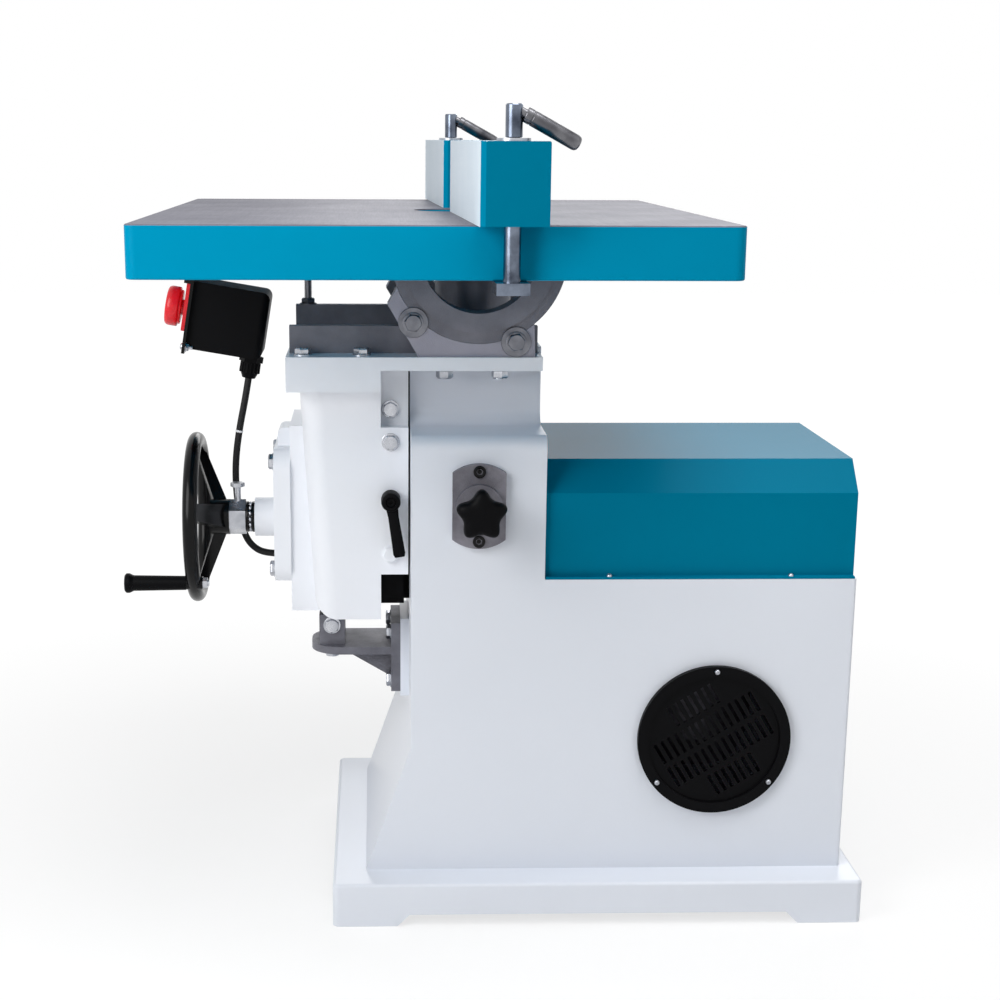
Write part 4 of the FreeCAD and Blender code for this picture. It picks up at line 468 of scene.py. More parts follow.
def half_ground(name, bare, body, shade):
    """Teal paint where bare is zero, and ground metal where it is one; the teal is lighter than the teal enamel, as
    painted light on the lit edge of the table.
    """
    finish = Finish(name, ior=1.075)
    ground = bare(finish)
    cloud = finish.noise(3.2, 4)
    stain = finish.noise(9, 5, rough=0.6)
    lines = finish.noise(700, 3, GRINDING)
    passes = finish.noise(110, 2, GRINDING)
    fine = finish.noise(420, 1)
    # painted light: this teal is a lighter copy of the teal enamel, for the light on the table's edge
    paint = finish.mix(rgb(0, 147, 186), rgb(0, 132, 170), cloud)
    stained = finish.mix(body, shade, finish.steps(stain, 0.15, 0.85))
    metal = finish.mix(stained, shade, lines * 0.3 + passes * 0.5)
    rough = (0.16 + cloud * 0.08) * (1 - ground) + (0.34 + lines * 0.12 + stain * 0.1) * ground
    relief = fine * 1.5 * (1 - ground) + lines * 0.4 * ground
    return finish.set(base_color=finish.mix(paint, metal, ground), roughness=rough, metallic=ground * 0.1,
                      normal=finish.bump(relief, 0.04 * MM))


def before_facing(finish):
    """One on the working faces of the fence, which stands skewed by two degrees."""
    return finish.along("X") * math.cos(SKEW) + finish.along("Y") * math.sin(SKEW) < facing_plane


def above_skirt(finish):
    """One on the ground top of the table and on a thin band below it, the ground edge that is also a painted
    highlight.
    """
    return finish.along("Z") > table_height - GROUND_EDGE_AND_HIGHLIGHT


table_finish = half_ground("table_coat", above_skirt, rgb(136, 136, 146), rgb(100, 100, 110))
# painted reflection: the facings' near-white, slightly blue colour stands for bright surroundings seen in the ground
# metal
facing_with_painted_reflection = half_ground("facing_coat", before_facing, rgb(238, 248, 255), rgb(218, 232, 242))
print("table top at", round(table_height, 4), "fence face at", round(facing_plane, 4))

# %% [markdown]
# ## Dressing the solids
# Every solid takes the finish of its slot in the record, and a few take a closer match.

# %% Dress the solids
by_slot = {
    "white_enamel": white, "teal_enamel": teal, "black_enamel": black_gloss, "grey_iron": grey_iron, "zinc": zinc,
    "steel": steel, "bronze": bronze, "black_plastic": black_plastic, "red_plastic": red_plastic, "rubber": rubber}
closer = {
    "table_top": table_finish, "fence_facings": facing_with_painted_reflection, "lock_plate": dark_iron, "guide_rail": rail_black,
    "front_saddle": saddle_iron, "rear_saddle": saddle_iron, "screw_bracket": shelf_iron, "screw_post": shelf_iron,
    "knee_casting": white_cast, "gear_housing": white_cast, "front_keeper": white_cast, "rear_keeper": white_cast,
    "front_clamp_bolt": chrome, "rear_clamp_bolt": chrome}
for entry in frame["record"]["subparts"]:
    solid = nodes[entry["node"]]
    solid.data.materials.clear()
    solid.data.materials.append(closer.get(entry["node"], by_slot[entry["material_slot"]]))
print("dressed", len(nodes), "solids,", len(closer), "of them by name")

# %% [markdown]
# ## Turned shells
# Most small hardware is turned, or pressed from a turned blank. A shell is a stack of rings round one axis; each ring
# has a shape, a radius and a height, so one helper makes a round collar, a hexagonal head, a cross slot or a star.
# Profiles are written in millimetres, or as shares of a width and a height.

# %% Shell helpers


def hexagonal(angle):
    return 1 / math.cos((angle + math.pi / 6) % (math.pi / 3) - math.pi / 6)


def crossed(angle):
    return 0.34 + 0.66 * abs(math.cos(2 * angle)) ** 7


def starred(angle):
    return 0.735 + 0.265 * (0.5 + 0.5 * math.cos(5 * (angle - math.pi / 2))) ** 1.25


def plain(angle):
    return 1.0


def sized(rings, across=1, tall=1, lift=0):
    """A profile in metres, from millimetres or from shares of a width and a height."""
    return [(shape, radius * across * MM, (height * tall + lift) * MM) for shape, radius, height in rings]


def turned(shell, rings, place=Matrix(), steps=48):
    """Adds a closed stack of rings to a bmesh; a ring of no radius is a single point."""
    loops = []
    for shape, radius, height in rings:
        loop = []
        for angle in (2 * math.pi * step / steps for step in range(steps if radius else 1)):
            reach = radius * shape(angle)
            spot = Vector((reach * math.cos(angle), reach * math.sin(angle), height))
            loop.append(shell.verts.new(place @ spot))
        loops.append(loop)
    for low, high in zip(loops, loops[1:]):
        for step in range(steps):
            corners = [low[step % len(low)], low[(step + 1) % len(low)],
                       high[(step + 1) % len(high)], high[step % len(high)]]
            shell.faces.new(list(dict.fromkeys(corners)))
    return shell


def mesh_of(name, shell):
    """The bmesh as a mesh whose faces point outwards."""
    bmesh.ops.recalc_face_normals(shell, faces=shell.faces)
    mesh = bpy.data.meshes.new(name)
    shell.to_mesh(mesh)
    shell.free()
    return mesh


def add_piece(name, mesh, finish, body, slot, *replaced, sharp=35):
    """A finished piece of the machine, riding on a body and standing for the CAD nodes that it replaces."""
    thing = bpy.data.objects.new(name, mesh)
    scene.collection.objects.link(thing)
    mesh.materials.clear()
    mesh.materials.append(finish)
    for face in mesh.polygons:
        face.use_smooth = True
    mesh.set_sharp_from_angle(angle=math.radians(sharp))
    if body:
        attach(thing, body)
    if replaced:
        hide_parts(*replaced)
    print(name, len(mesh.polygons), "faces")
    return thing


def facing(way, place):
    """A placing that turns the Z axis to a direction."""
    return Matrix.Translation(place) @ Vector(way).to_track_quat("Z", "Y").to_matrix().to_4x4()


to_front = Matrix.Rotation(math.radians(90), 4, "X")
to_left = Matrix.Rotation(math.radians(-90), 4, "Y")
to_right = Matrix.Rotation(math.radians(90), 4, "Y")
print("shell helpers ready")

# %% [markdown]
# ## Node trees
# What repeats is left to Geometry Nodes. One class builds a tree with named inputs and runs it, on a mesh of points
# where it needs one: the inputs are set by their identifiers, the result is made a plain mesh, and the holder goes
# away with its modifier.

# %% Tree helper


class Tree:
    """A Geometry Nodes tree with named inputs, ending in Realize Instances and Set Material."""

    def __init__(self, name, **inputs):
        self.group = bpy.data.node_groups.new(name, "GeometryNodeTree")
        face = self.group.interface
        face.new_socket("Geometry", in_out="OUTPUT", socket_type="NodeSocketGeometry")
        face.new_socket("Geometry", in_out="INPUT", socket_type="NodeSocketGeometry")
        for key, kind in {**inputs, "Finish": "Material"}.items():
            face.new_socket(key, in_out="INPUT", socket_type="NodeSocket" + kind)
        self.start = self.group.nodes.new("NodeGroupInput")
        self.end = self.group.nodes.new("NodeGroupOutput")

    def given(self, name):
        return self.start.outputs[name]

    def node(self, kind, settings=None, sockets=None, out=0):
        return add_node(self.group, kind, settings, sockets)[out]

    def maths(self, operation, first, second=0.0):
        return self.node("ShaderNodeMath", {"operation": operation}, {0: first, 1: second})

    def close(self, geometry):
        solid = self.node("GeometryNodeRealizeInstances", {}, {0: geometry})
        painted = self.node("GeometryNodeSetMaterial", {}, {"Geometry": solid, "Material": self.given("Finish")})
        self.group.links.new(painted, self.end.inputs[0])
        return self

    def grow(self, source=None, **sizes):
        """The tree's result as a plain mesh."""
        holder = bpy.data.objects.new("holder", source or bpy.data.meshes.new("start"))
        scene.collection.objects.link(holder)
        modifier = holder.modifiers.new("grow", "NODES")
        modifier.node_group = self.group
        items = self.group.interface.items_tree
        sockets = {item.name: item.identifier for item in items if item.in_out == "INPUT"}
        for key, size in sizes.items():
            modifier[sockets[key]] = size
        mesh = as_mesh(holder)
        bpy.data.objects.remove(holder)
        return mesh


def joined(*meshes):
    """Several meshes of one finish as one."""
    shell = bmesh.new()
    for mesh in meshes:
        shell.from_mesh(mesh)
    return mesh_of("joined", shell)


print("tree helper ready")

# %% [markdown]
# ## Bolts and screws
# The solids say where each bolt is; its head is modelled once, with its chamfer and its washer, and a tree puts a
# copy on every seat, faces it outwards and turns it by a chance angle, as a spanner leaves it. A bolt node's mesh is
# loose triangles, so a copy is merged and split into islands, and each island's box gives the tip of one head. A
# head's size is its width across the flats and its height, in millimetres.

# %% Bolt heads
head_shapes = {
    "hexagon": [(plain, 0, 0), (plain, 0.66, 0), (plain, 0.66, 0.16), (plain, 0.63, 0.2), (plain, 0.47, 0.2),
                (hexagonal, 0.495, 0.22), (hexagonal, 0.5, 0.3), (hexagonal, 0.5, 0.8), (hexagonal, 0.485, 0.87),
                (hexagonal, 0.45, 0.93), (plain, 0.47, 1.0), (plain, 0, 1.0)],
    "socket": [(plain, 0, 0), (plain, 0.5, 0), (plain, 0.5, 0.9), (plain, 0.45, 1.0), (plain, 0.3, 1.0),
               (hexagonal, 0.25, 0.96), (hexagonal, 0.24, 0.4), (plain, 0, 0.35)],
    "cross": [(plain, 0, 0), (plain, 0.5, 0), (plain, 0.5, 0.25), (plain, 0.46, 0.55), (plain, 0.38, 0.85),
              (plain, 0.32, 0.95), (crossed, 0.3, 0.98), (crossed, 0.22, 0.5), (plain, 0, 0.4)],
    "washer": [(plain, 0, 0), (plain, 0.49, 0), (plain, 0.5, 0.1), (plain, 0.5, 0.85), (plain, 0.49, 1.0),
               (plain, 0, 1.0)],
}
heads = {}
for kind, rings in head_shapes.items():
    heads[kind] = bpy.data.objects.new(kind + "_head", mesh_of(kind, turned(bmesh.new(), rings)))
    scene.collection.objects.link(heads[kind])

fastener = Tree("fastener", Head="Object", Across="Float", Height="Float", Seed="Int")
way = fastener.node("GeometryNodeInputNamedAttribute", {"data_type": "FLOAT_VECTOR"}, {"Name": "way"})
outward = fastener.node("FunctionNodeAlignRotationToVector", {"axis": "Z"}, {"Vector": way})
# Sockets 2 and 3 and output 1 of a Random Value node are the plain numbers, and socket 8 is the seed.
chance = fastener.node("FunctionNodeRandomValue", {"data_type": "FLOAT"},
                       {2: 0.0, 3: math.radians(60), 8: fastener.given("Seed")}, out=1)
twist = fastener.node("FunctionNodeAxisAngleToRotation", {}, {"Axis": (0, 0, 1), "Angle": chance})
turned_head = fastener.node("FunctionNodeRotateRotation", {"rotation_space": "LOCAL"},
                            {"Rotation": outward, "Rotate By": twist})
size = fastener.node("ShaderNodeCombineXYZ", {}, {
    0: fastener.given("Across"), 1: fastener.given("Across"), 2: fastener.given("Height")})
shape = fastener.node("GeometryNodeObjectInfo", {}, {"Object": fastener.given("Head")}, out="Geometry")
fastener.close(fastener.node("GeometryNodeInstanceOnPoints", {}, {
    "Points": fastener.given("Geometry"), "Instance": shape, "Rotation": turned_head, "Scale": size}))


def islands(name):
    """The separate solids of a CAD node: the lowest and highest corner of each, in a fixed order."""
    copy = bmesh.new()
    copy.from_mesh(nodes[name].data)
    bmesh.ops.remove_doubles(copy, verts=copy.verts, dist=0.001 * MM)
    unseen = set(copy.verts)
    boxes = []
    while unseen:
        reached = [unseen.pop()]
        for vert in reached:
            for other in (edge.other_vert(vert) for edge in vert.link_edges):
                if other in unseen:
                    unseen.remove(other)
                    reached.append(other)
        corners = list(zip(*(vert.co for vert in reached)))
        boxes.append(([round(min(c), 6) for c in corners], [round(max(c), 6) for c in corners]))
    copy.free()
    return [(Vector(low), Vector(high)) for low, high in sorted(boxes)]


def fasten(boxes, direction, kind, across, height, finish, seed, proud=0):
    """Heads for the islands of a bolt node: each has its top at the tip of its island, or stands proud of it."""
    spots = bpy.data.meshes.new("seats")
    ways = [Vector(direction(low, high)) for low, high in boxes]
    tips = [(low + high) / 2 + Vector(w * s / 2 for w, s in zip(way, high - low))
            for way, (low, high) in zip(ways, boxes)]
    spots.from_pydata([tip + way * (proud - height) * MM for tip, way in zip(tips, ways)], [], [])
    kept = spots.attributes.new("way", "FLOAT_VECTOR", "POINT")
    for item, way in zip(kept.data, ways):
        item.vector = way
    return fastener.grow(spots, Head=heads[kind], Across=across * MM, Height=height * MM, Seed=seed,
                         Finish=finish)


print("heads:", list(heads))

# %% [markdown]
# ## Which way a head faces
# That follows from where its bolt is: keeper screws face outwards, the bolts of the saddle's arms hang below it while
# those of its shelf stand on top, and the cover's screws stand upright. Bolts that one node holds are told apart by
# where they are.

# %% Ways and sizes


def outwards(low, high):
    return (0, 1 if low.y + high.y > 0 else -1, 0)


def leftwards(low, high):
    return (-1, 0, 0)


def forwards(low, high):
    return (0, -1, 0)


def downwards(low, high):
    return (0, 0, -1)


def upwards(low, high):
    return (0, 0, 1)


def wide(box):
    return box[1].x - box[0].x > WASHER_SPAN


def right_of(box, x):
    return box[0].x > at(x, 0, 0).x


WASHER_SPAN = 30 * MM
ARM_START, COVER_START = -100, 100
PAINTED_BELOW, COVER_FOOT = 0.46, 0.42
BOLT, SADDLE_BOLT, SHELF_BOLT = ("hexagon", 17, 6.5), ("hexagon", 18, 12), ("hexagon", 17, 9)
CLAMP_BOLT, CLAMP_WASHER = ("hexagon", 19, 8), ("washer", 36, 3)
PANEL_SCREW, LOCK_SCREW = ("cross", 7, 3), ("socket", 15, 8)
print("bolts:", BOLT, SADDLE_BOLT, SHELF_BOLT, CLAMP_BOLT)

# %% [markdown]
# ## Bolts of the bracket and the knee
# The bracket's bolts lie along three axes, and the longest side of a bolt's box tells which. The lowest keeper screws
# were painted over with the knee.

# %% Bolts of the bracket and the knee
shelf_bolts = islands("screw_bracket_bolts")
longest = [max("xyz", key=lambda axis: getattr(high - low, axis)) for low, high in shelf_bolts]
bracket_heads = [
    fasten([box for box, axis in zip(shelf_bolts, longest) if axis == along], direction, *BOLT, zinc, 3)
    for along, direction in (("x", leftwards), ("y", forwards), ("z", downwards))]
add_piece("screw_bracket_bolt_heads", joined(*bracket_heads), zinc, "frame", "zinc", "screw_bracket_bolts")

saddle = islands("saddle_bolts")
arm_bolts = [box for box in saddle if right_of(box, ARM_START)]
shelf_seats = [box for box in saddle if not right_of(box, ARM_START)]
gibs = islands("gib_screws")
low_gibs = [box for box in gibs if box[0].z < PAINTED_BELOW]
knee_heads = [fasten([box for box in gibs if box not in low_gibs], outwards, *BOLT, zinc, 5),
              fasten(islands("gear_housing_bolts"), leftwards, *BOLT, zinc, 7),
              fasten(arm_bolts, downwards, *SADDLE_BOLT, zinc, 11, proud=3),
              fasten(shelf_seats, upwards, *SHELF_BOLT, zinc, 13)]
add_piece("knee_bolt_heads", joined(*knee_heads), zinc, "knee", "zinc",
          "gib_screws", "gear_housing_bolts", "saddle_bolts")
painted_heads = fasten(low_gibs, outwards, *BOLT, white_cast, 6)
add_piece("painted_gib_heads", painted_heads, white_cast, "knee", "white_enamel")

# %% [markdown]
# ## Bolts of the trunnions and the cabinet
# The trunnions are clamped by bolts on wide washers. The cabinet's cover and grille are held by small cross-slot
# screws, and the lock plate by socket screws. The patterns of the heads are then no longer needed.

# %% Bolts of the trunnions and the cabinet
clamps = islands("trunnion_clamp_bolts")
clamp_heads = [fasten([box for box in clamps if not wide(box)], outwards, *CLAMP_BOLT, dull_zinc, 17),
               fasten([box for box in clamps if wide(box)], outwards, *CLAMP_WASHER, dull_zinc, 19)]
add_piece("clamp_bolt_heads", joined(*clamp_heads), dull_zinc, "knee", "zinc", "trunnion_clamp_bolts")
ring_heads = fasten(islands("ring_bolts"), downwards, *BOLT, zinc, 23)
add_piece("ring_bolt_heads", ring_heads, zinc, "table", "zinc", "ring_bolts")

screws = islands("panel_screws")
cover_screws = [box for box in screws if right_of(box, COVER_START) and box[0].z > COVER_FOOT]
grille_screws = [box for box in screws if right_of(box, COVER_START) and box[0].z <= COVER_FOOT]
lock_screws = [box for box in screws if not right_of(box, COVER_START)]
panel_heads = [fasten(cover_screws, upwards, *PANEL_SCREW, zinc, 29),
               fasten(grille_screws, forwards, *PANEL_SCREW, zinc, 31)]
add_piece("panel_screw_heads", joined(*panel_heads), zinc, "frame", "zinc", "panel_screws")
lock_heads = fasten(lock_screws, forwards, *LOCK_SCREW, black_plastic, 37)
add_piece("lock_screw_heads", lock_heads, black_gloss, "frame", "zinc")
for head in heads.values():
    bpy.data.objects.remove(head)

# %% [markdown]
# ## Screw threads
# A thread is a helix with a narrow bar swept along it, on a plain core. The tree places points on a line by their
# index: the angle grows with the index and the height with the angle, which makes the thread right-handed.

# %% Thread tree
STEPS_A_TURN = 24
thread = Tree("thread", Radius="Float", Depth="Float", Pitch="Float", Turns="Float", Foot="Vector")
count = thread.maths("MULTIPLY", thread.given("Turns"), STEPS_A_TURN)
run = thread.node("GeometryNodeMeshLine", {}, {"Count": thread.node("FunctionNodeFloatToInt", {}, {0: count})})
angle = thread.maths("MULTIPLY", thread.node("GeometryNodeInputIndex"), 2 * math.pi / STEPS_A_TURN)
mean = thread.maths("SUBTRACT", thread.given("Radius"), thread.maths("MULTIPLY", thread.given("Depth"), 0.5))
rise = thread.maths("MULTIPLY", angle, thread.maths("DIVIDE", thread.given("Pitch"), 2 * math.pi))
helix_spot = thread.node("ShaderNodeCombineXYZ", {}, {
    0: thread.maths("MULTIPLY", thread.maths("COSINE", angle), mean),
    1: thread.maths("MULTIPLY", thread.maths("SINE", angle), mean), 2: rise})
helix = thread.node("GeometryNodeMeshToCurve", {}, {0: thread.node(
    "GeometryNodeSetPosition", {}, {"Geometry": run, "Position": helix_spot})})
upright = thread.node("GeometryNodeSetCurveNormal", {"mode": "Z_UP"}, {0: helix})
bar = thread.node("GeometryNodeCurvePrimitiveQuadrilateral", {"mode": "RECTANGLE"}, {
    "Width": thread.given("Depth"), "Height": thread.maths("MULTIPLY", thread.given("Pitch"), 0.45)})
ridge = thread.node("GeometryNodeCurveToMesh", {}, {"Curve": upright, "Profile Curve": bar, "Fill Caps": True})
tall = thread.maths("MULTIPLY", thread.given("Pitch"), thread.given("Turns"))
core_radius = thread.maths("SUBTRACT", thread.given("Radius"), thread.maths("MULTIPLY", thread.given("Depth"), 0.8))
core = thread.node("GeometryNodeMeshCylinder", {}, {"Vertices": 32, "Radius": core_radius, "Depth": tall})
half = thread.node("ShaderNodeCombineXYZ", {}, {2: thread.maths("MULTIPLY", tall, 0.5)})
raised = thread.node("GeometryNodeTransform", {}, {"Geometry": core, "Translation": half})
both = thread.node("GeometryNodeJoinGeometry", {}, {0: raised})
thread.group.links.new(ridge, both.node.inputs[0])
thread.close(thread.node("GeometryNodeTransform", {}, {"Geometry": both, "Translation": thread.given("Foot")}))
print("thread tree:", len(thread.group.nodes), "nodes")

# %% [markdown]
# ## Threads in place
# The lead screw and the tilt stop are threaded over their length, and the arbor at its upper end, where its nut would
# sit. The tilt stop stands in a lock nut.

# %% Threads in place
ARBOR_SHOULDER, NUT_RISE = 925, 20 * MM


def threaded(node, radius, depth, pitch, finish, foot=None):
    """A thread over the length of a CAD node that stands upright."""
    low, high = (Vector(corner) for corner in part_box(node))
    bottom = Vector(((low.x + high.x) / 2, (low.y + high.y) / 2, low.z if foot is None else foot))
    return thread.grow(Radius=radius * MM, Depth=depth * MM, Pitch=pitch * MM,
                       Turns=(high.z - bottom.z) / (pitch * MM) - 0.5, Foot=bottom, Finish=finish)


add_piece("lead_screw_thread", threaded("lead_screw", 15, 3, 6, steel), steel, "frame", "steel", "lead_screw")
arbor_tip = thread.grow(Radius=10.4 * MM, Depth=1.2 * MM, Pitch=2 * MM, Turns=7.0, Foot=at(0, 0, ARBOR_SHOULDER),
                        Finish=steel)
add_piece("arbor_thread", arbor_tip, steel, "spindle", "steel")
stop_low, stop_high = (Vector(corner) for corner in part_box("tilt_stop_screw"))
stop_foot = Vector(((stop_low.x + stop_high.x) / 2, (stop_low.y + stop_high.y) / 2, stop_low.z + NUT_RISE))
nut_rings = sized(head_shapes["hexagon"], 17, 8)
lock_nut = mesh_of("lock_nut", turned(bmesh.new(), nut_rings, Matrix.Translation(stop_foot)))
stop_thread = threaded("tilt_stop_screw", 5, 1, 1.5, dull_zinc, stop_foot.z)
add_piece("tilt_stop_thread", joined(stop_thread, lock_nut), dull_zinc, "knee", "zinc", "tilt_stop_screw")

# %% [markdown]
# ## Thrust bearings
# The hand wheel's collar and the lifting nut each push on a ball thrust bearing: two dark races with a ring of bright
# balls between them. A tree sets the balls on a circle; the races are turned.

# %% Thrust bearings
BORE, BALL_RING, BALL_RADIUS, BALL_COUNT = 0.62, 0.83, 0.26, 14
balls = Tree("balls", Ring="Float", Ball="Float", Count="Int")
circle = balls.node("GeometryNodeMeshCircle", {}, {
    "Vertices": balls.given("Count"), "Radius": balls.given("Ring")})
ball = balls.node("GeometryNodeMeshUVSphere", {}, {"Segments": 16, "Rings": 10, "Radius": balls.given("Ball")})
balls.close(balls.node("GeometryNodeInstanceOnPoints", {}, {"Points": circle, "Instance": ball}))
races = bmesh.new()
ball_meshes = []
for low, high in islands("thrust_bearings"):
    reach = high - low
    axis = min("xyz", key=lambda name: getattr(reach, name))
    thick, outer = getattr(reach, axis), max(reach) / 2
    inner, ring, ball_size = outer * BORE, outer * BALL_RING, thick * BALL_RADIUS
    middle = facing([1 if name == axis else 0 for name in "xyz"], (low + high) / 2)
    for side in (-1, 1):
        rings = [(plain, inner, side * thick * 0.5), (plain, outer * 0.98, side * thick * 0.5),
                 (plain, outer, side * thick * 0.45), (plain, outer, side * thick * 0.2),
                 (plain, inner, side * thick * 0.2), (plain, inner, side * thick * 0.5)]
        turned(races, rings, middle)
    cage = [(plain, inner * 1.02, -thick * 0.1), (plain, ring, -thick * 0.1), (plain, ring, thick * 0.1),
            (plain, inner * 1.02, thick * 0.1), (plain, inner * 1.02, -thick * 0.1)]
    turned(races, cage, middle)
    grown = balls.grow(Ring=ring, Ball=ball_size, Count=BALL_COUNT, Finish=zinc)
    grown.transform(middle)
    ball_meshes.append(grown)
bmesh.ops.remove_doubles(races, verts=races.verts, dist=0.001 * MM)
add_piece("thrust_races", mesh_of("thrust_races", races), black_gloss, "knee", "steel", "thrust_bearings")
add_piece("thrust_balls", joined(*ball_meshes), zinc, "knee", "steel")

# %% [markdown]
# ## Star knob
# The spindle lock is pulled by a star knob with five lobes: narrow tips with hollow flanks, domed in front.

# %% Star knob
KNOB_STEPS = 100
knob_back = at(0, -232, 522)
star = [(plain, 0, 0), (plain, 15, 0), (plain, 15, 3.5), (starred, 27, 4.5), (starred, 30, 6.5),
        (starred, 31, 10), (starred, 31, 14), (starred, 30, 18), (starred, 27, 21), (starred, 22, 23),
        (starred, 14, 23.8), (plain, 0, 24)]
knob = turned(bmesh.new(), sized(star), Matrix.Translation(knob_back) @ to_front, KNOB_STEPS)
add_piece("star_knob", mesh_of("star_knob", knob), black_plastic, "lock_knob", "black_plastic", "lock_knob")

# %% [markdown]
# ## Clamping lever
# The knee is clamped by a moulded lever whose hub has a socket screw in its middle; its flat arm, a loft through
# rounded rectangles, widens towards the tip.

# %% Clamping lever
LEVER_LEAN = math.radians(9)
CORNERS, SQUARENESS = 16, 0.4
hub_back = at(-105, -115.3, 516)
hub_place = Matrix.Translation(hub_back) @ to_front
hub = [(plain, 0, 0), (plain, 11, 0), (plain, 12, 1), (plain, 12, 20), (plain, 11, 23), (plain, 9.5, 23.7),
       (plain, 6.5, 23.7), (plain, 6, 21), (plain, 5.4, 20.5), (plain, 5.2, 22), (plain, 3, 22),
       (hexagonal, 2.6, 21.8), (hexagonal, 2.5, 19), (plain, 0, 19)]
stud = [(plain, 0, -15), (plain, 5, -15), (plain, 5, 0.5), (plain, 0, 0.5)]
lever = turned(bmesh.new(), sized(hub), hub_place)
turned(lever, sized(stud), hub_place)
arm_way = Vector((math.sin(LEVER_LEAN), 0, -math.cos(LEVER_LEAN)))
arm_side = Vector((math.cos(LEVER_LEAN), 0, math.sin(LEVER_LEAN)))


def squared(share):
    """A sine or cosine drawn towards its ends, which makes a circle a rounded rectangle."""
    return math.copysign(abs(share) ** SQUARENESS, share)


sections = []
for reach, width, thick, out in ((4, 8, 6, 13), (20, 6.6, 5.2, 14.5), (45, 7, 4.6, 16.5), (66, 7.6, 4.2, 17.5),
                                 (70, 6.2, 3.2, 17.5)):
    ring = []
    for corner in range(CORNERS):
        turn = 2 * math.pi * corner / CORNERS
        across, deep = squared(math.cos(turn)) * width, squared(math.sin(turn)) * thick
        spot = arm_way * reach + arm_side * across + Vector((0, deep - out, 0))
        ring.append(lever.verts.new(hub_back + spot * MM))
    sections.append(ring)
for first, second in zip(sections, sections[1:]):
    for corner in range(CORNERS):
        after = (corner + 1) % CORNERS
        lever.faces.new((first[corner], first[after], second[after], second[corner]))
lever.faces.new(sections[0])
lever.faces.new(sections[-1])
add_piece("clamping_lever", mesh_of("clamping_lever", lever), black_plastic, "knee_lock_lever", "black_plastic",
          "knee_lock_lever")

# %% [markdown]
# ## Fence clamps
# Each clamp is worked by a plated post with a drilled top and a burnished lever that slopes down over the fence: a
# thin neck, a ferrule and a long round grip with a domed end. They stand on the axes of their joints.

# %% Fence clamps
LEVER_SLOPE, LEVER_RISE = math.radians(28.5), 33 * MM
post = [(plain, 0, 3.2), (plain, 8, 3.2), (plain, 8.9, 4), (plain, 8.9, 35.8), (plain, 7.8, 37), (plain, 3.2, 37),
        (plain, 2.8, 36.6), (plain, 2.8, 34), (plain, 0, 34)]
grip = [(plain, 0, 0), (plain, 5, 0), (plain, 5, 13), (plain, 7.6, 13.2), (plain, 8.3, 14), (plain, 8.3, 20),
        (plain, 7.8, 20.6), (plain, 7.8, 21.4), (plain, 8.3, 22), (plain, 8.3, 71.5), (plain, 7.6, 74.2),
        (plain, 5.8, 76), (plain, 3, 76.8), (plain, 0, 77)]
slope = Vector((math.cos(LEVER_SLOPE) * math.cos(SKEW), math.cos(LEVER_SLOPE) * math.sin(SKEW),
                -math.sin(LEVER_SLOPE)))
for side in ("front", "rear"):
    foot = Vector(joints[side + "_handle_turn"]["pos_m"])
    body = side + "_clamp_handle"
    upright = turned(bmesh.new(), sized(post), Matrix.Translation(foot))
    add_piece(side + "_clamp_post", mesh_of("clamp_post", upright), chrome, body, "zinc", body)
    arm = turned(bmesh.new(), sized(grip), facing(slope, foot + Vector((0, 0, LEVER_RISE))))
    add_piece(side + "_clamp_lever", mesh_of("clamp_lever", arm), burnished, body, "zinc")

# %% [markdown]
# ## Stop switch
# The stop button is a flat mushroom with a rounded rim and a step behind it. The switch's bracket has two small
# screws with nuts at its lower corners, and the gland's nut is ribbed for the fingers.

# %% Stop switch
SWITCH = Matrix.Translation(at(-352, 50, 772)) @ Matrix.Rotation(math.radians(9.5), 4, "Y")
BUTTON_SPOT, GLAND_SPOT = (0, 0, -39 * MM), (83 * MM, 0, -108 * MM)
FIXING_SIDE, FIXING_LEVEL = 40 * MM, -84 * MM
mushroom = [(plain, 0, 9), (plain, 10, 9), (plain, 10, 15), (plain, 21.4, 15), (plain, 22, 15.5), (plain, 22, 17.6),
            (plain, 22.4, 18), (plain, 24.8, 18.3), (plain, 25.5, 19.2), (plain, 25.5, 29), (plain, 25.1, 31.2),
            (plain, 23.9, 33.2), (plain, 21.9, 34.4), (plain, 18.5, 34.9), (plain, 9, 35), (plain, 0, 35)]
button = turned(bmesh.new(), sized(mushroom), SWITCH @ Matrix.Translation(BUTTON_SPOT) @ to_left)
add_piece("mushroom_button", mesh_of("mushroom_button", button), red_plastic, "stop_button", "red_plastic",
          "stop_button", sharp=50)

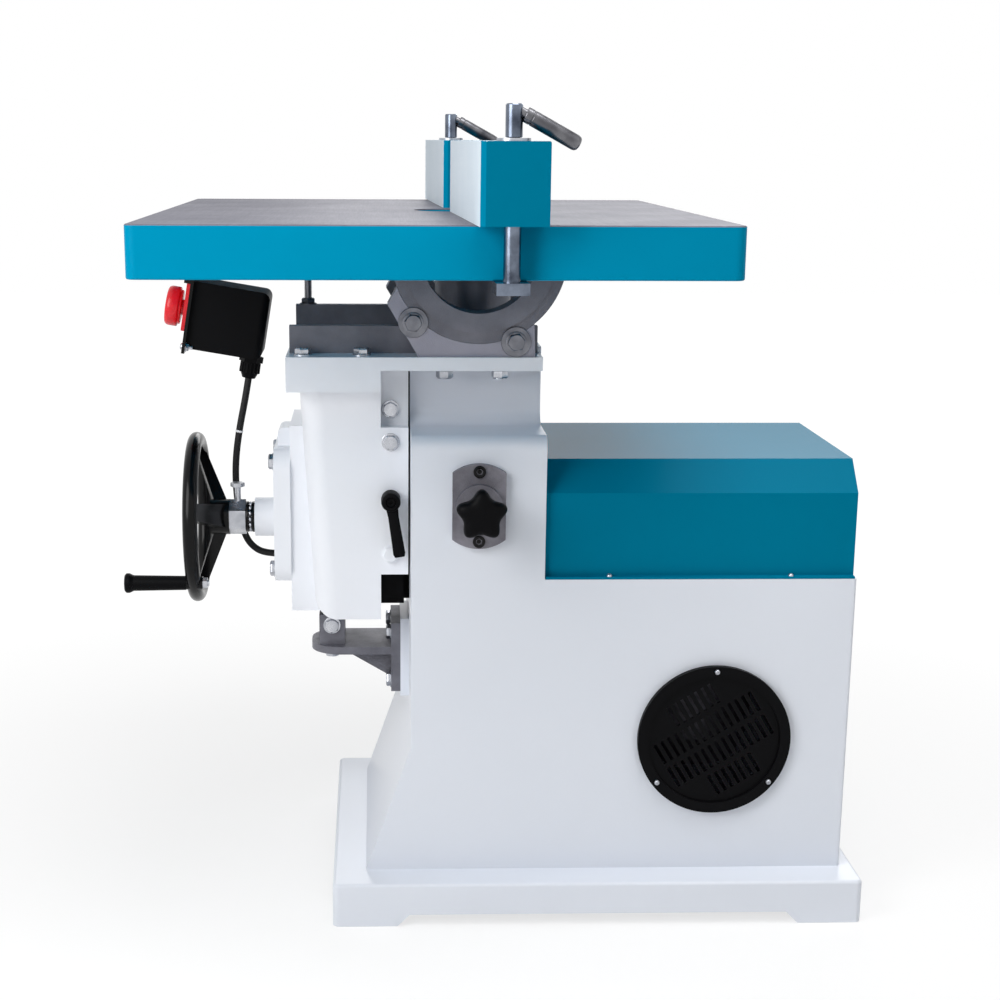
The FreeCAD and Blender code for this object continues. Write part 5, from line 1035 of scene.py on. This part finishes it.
screw_end = [(plain, 0, 0), (plain, 2.4, 0), (plain, 2.4, 9), (plain, 0, 9.6)]
fixings = bmesh.new()
for side in (-1, 1):
    corner = SWITCH @ Matrix.Translation((0, side * FIXING_SIDE, FIXING_LEVEL))
    turned(fixings, sized(head_shapes["hexagon"], 9, 4.5), corner @ to_right)
    turned(fixings, sized(screw_end), corner @ to_right, 20)
    turned(fixings, sized(head_shapes["cross"], 9, 3, lift=4), corner @ to_left)
add_piece("bracket_fixings", mesh_of("bracket_fixings", fixings), zinc, "table", "zinc")

ribs = Tree("ribs", Ring="Float", Count="Int", Width="Float", Tall="Float")
rib_circle = ribs.node("GeometryNodeMeshCircle", {}, {
    "Vertices": ribs.given("Count"), "Radius": ribs.given("Ring")})
rib_size = ribs.node("ShaderNodeCombineXYZ", {}, {
    0: ribs.given("Width"), 1: ribs.given("Width"), 2: ribs.given("Tall")})
rib = ribs.node("GeometryNodeMeshCone", {}, {
    "Vertices": 8, "Radius Top": 0.42, "Radius Bottom": 0.5, "Depth": 1.0})
ribs.close(ribs.node("GeometryNodeInstanceOnPoints", {}, {"Points": rib_circle, "Instance": rib, "Scale": rib_size}))
gland_ribs = ribs.grow(Ring=12.4 * MM, Count=18, Width=2.2 * MM, Tall=13 * MM, Finish=black_plastic)
gland_ribs.transform(SWITCH @ Matrix.Translation(GLAND_SPOT))
add_piece("gland_ribs", gland_ribs, black_plastic, "table", "black_plastic")

# %% [markdown]
# ## Cable band
# A white band marks the cable halfway down.

# %% Cable band
BAND_HEIGHT = 574 * MM
band_index = min(range(1, len(path_points) - 1), key=lambda i: abs(path_points[i].z - BAND_HEIGHT))
band_way = path_points[band_index + 1] - path_points[band_index - 1]
band = [(plain, 4.4, -1.4), (plain, 4.9, -1.4), (plain, 5.1, -1.0), (plain, 5.1, 1.0), (plain, 4.9, 1.4),
        (plain, 4.4, 1.4), (plain, 4.4, -1.4)]
band_shell = turned(bmesh.new(), sized(band), facing(band_way, path_points[band_index]))
bmesh.ops.remove_doubles(band_shell, verts=band_shell.verts, dist=0.001 * MM)
cable_band = add_piece("cable_band", mesh_of("cable_band", band_shell), white_plastic, None, "white_enamel")
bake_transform(cable_band)
at(*ROUTE[0])
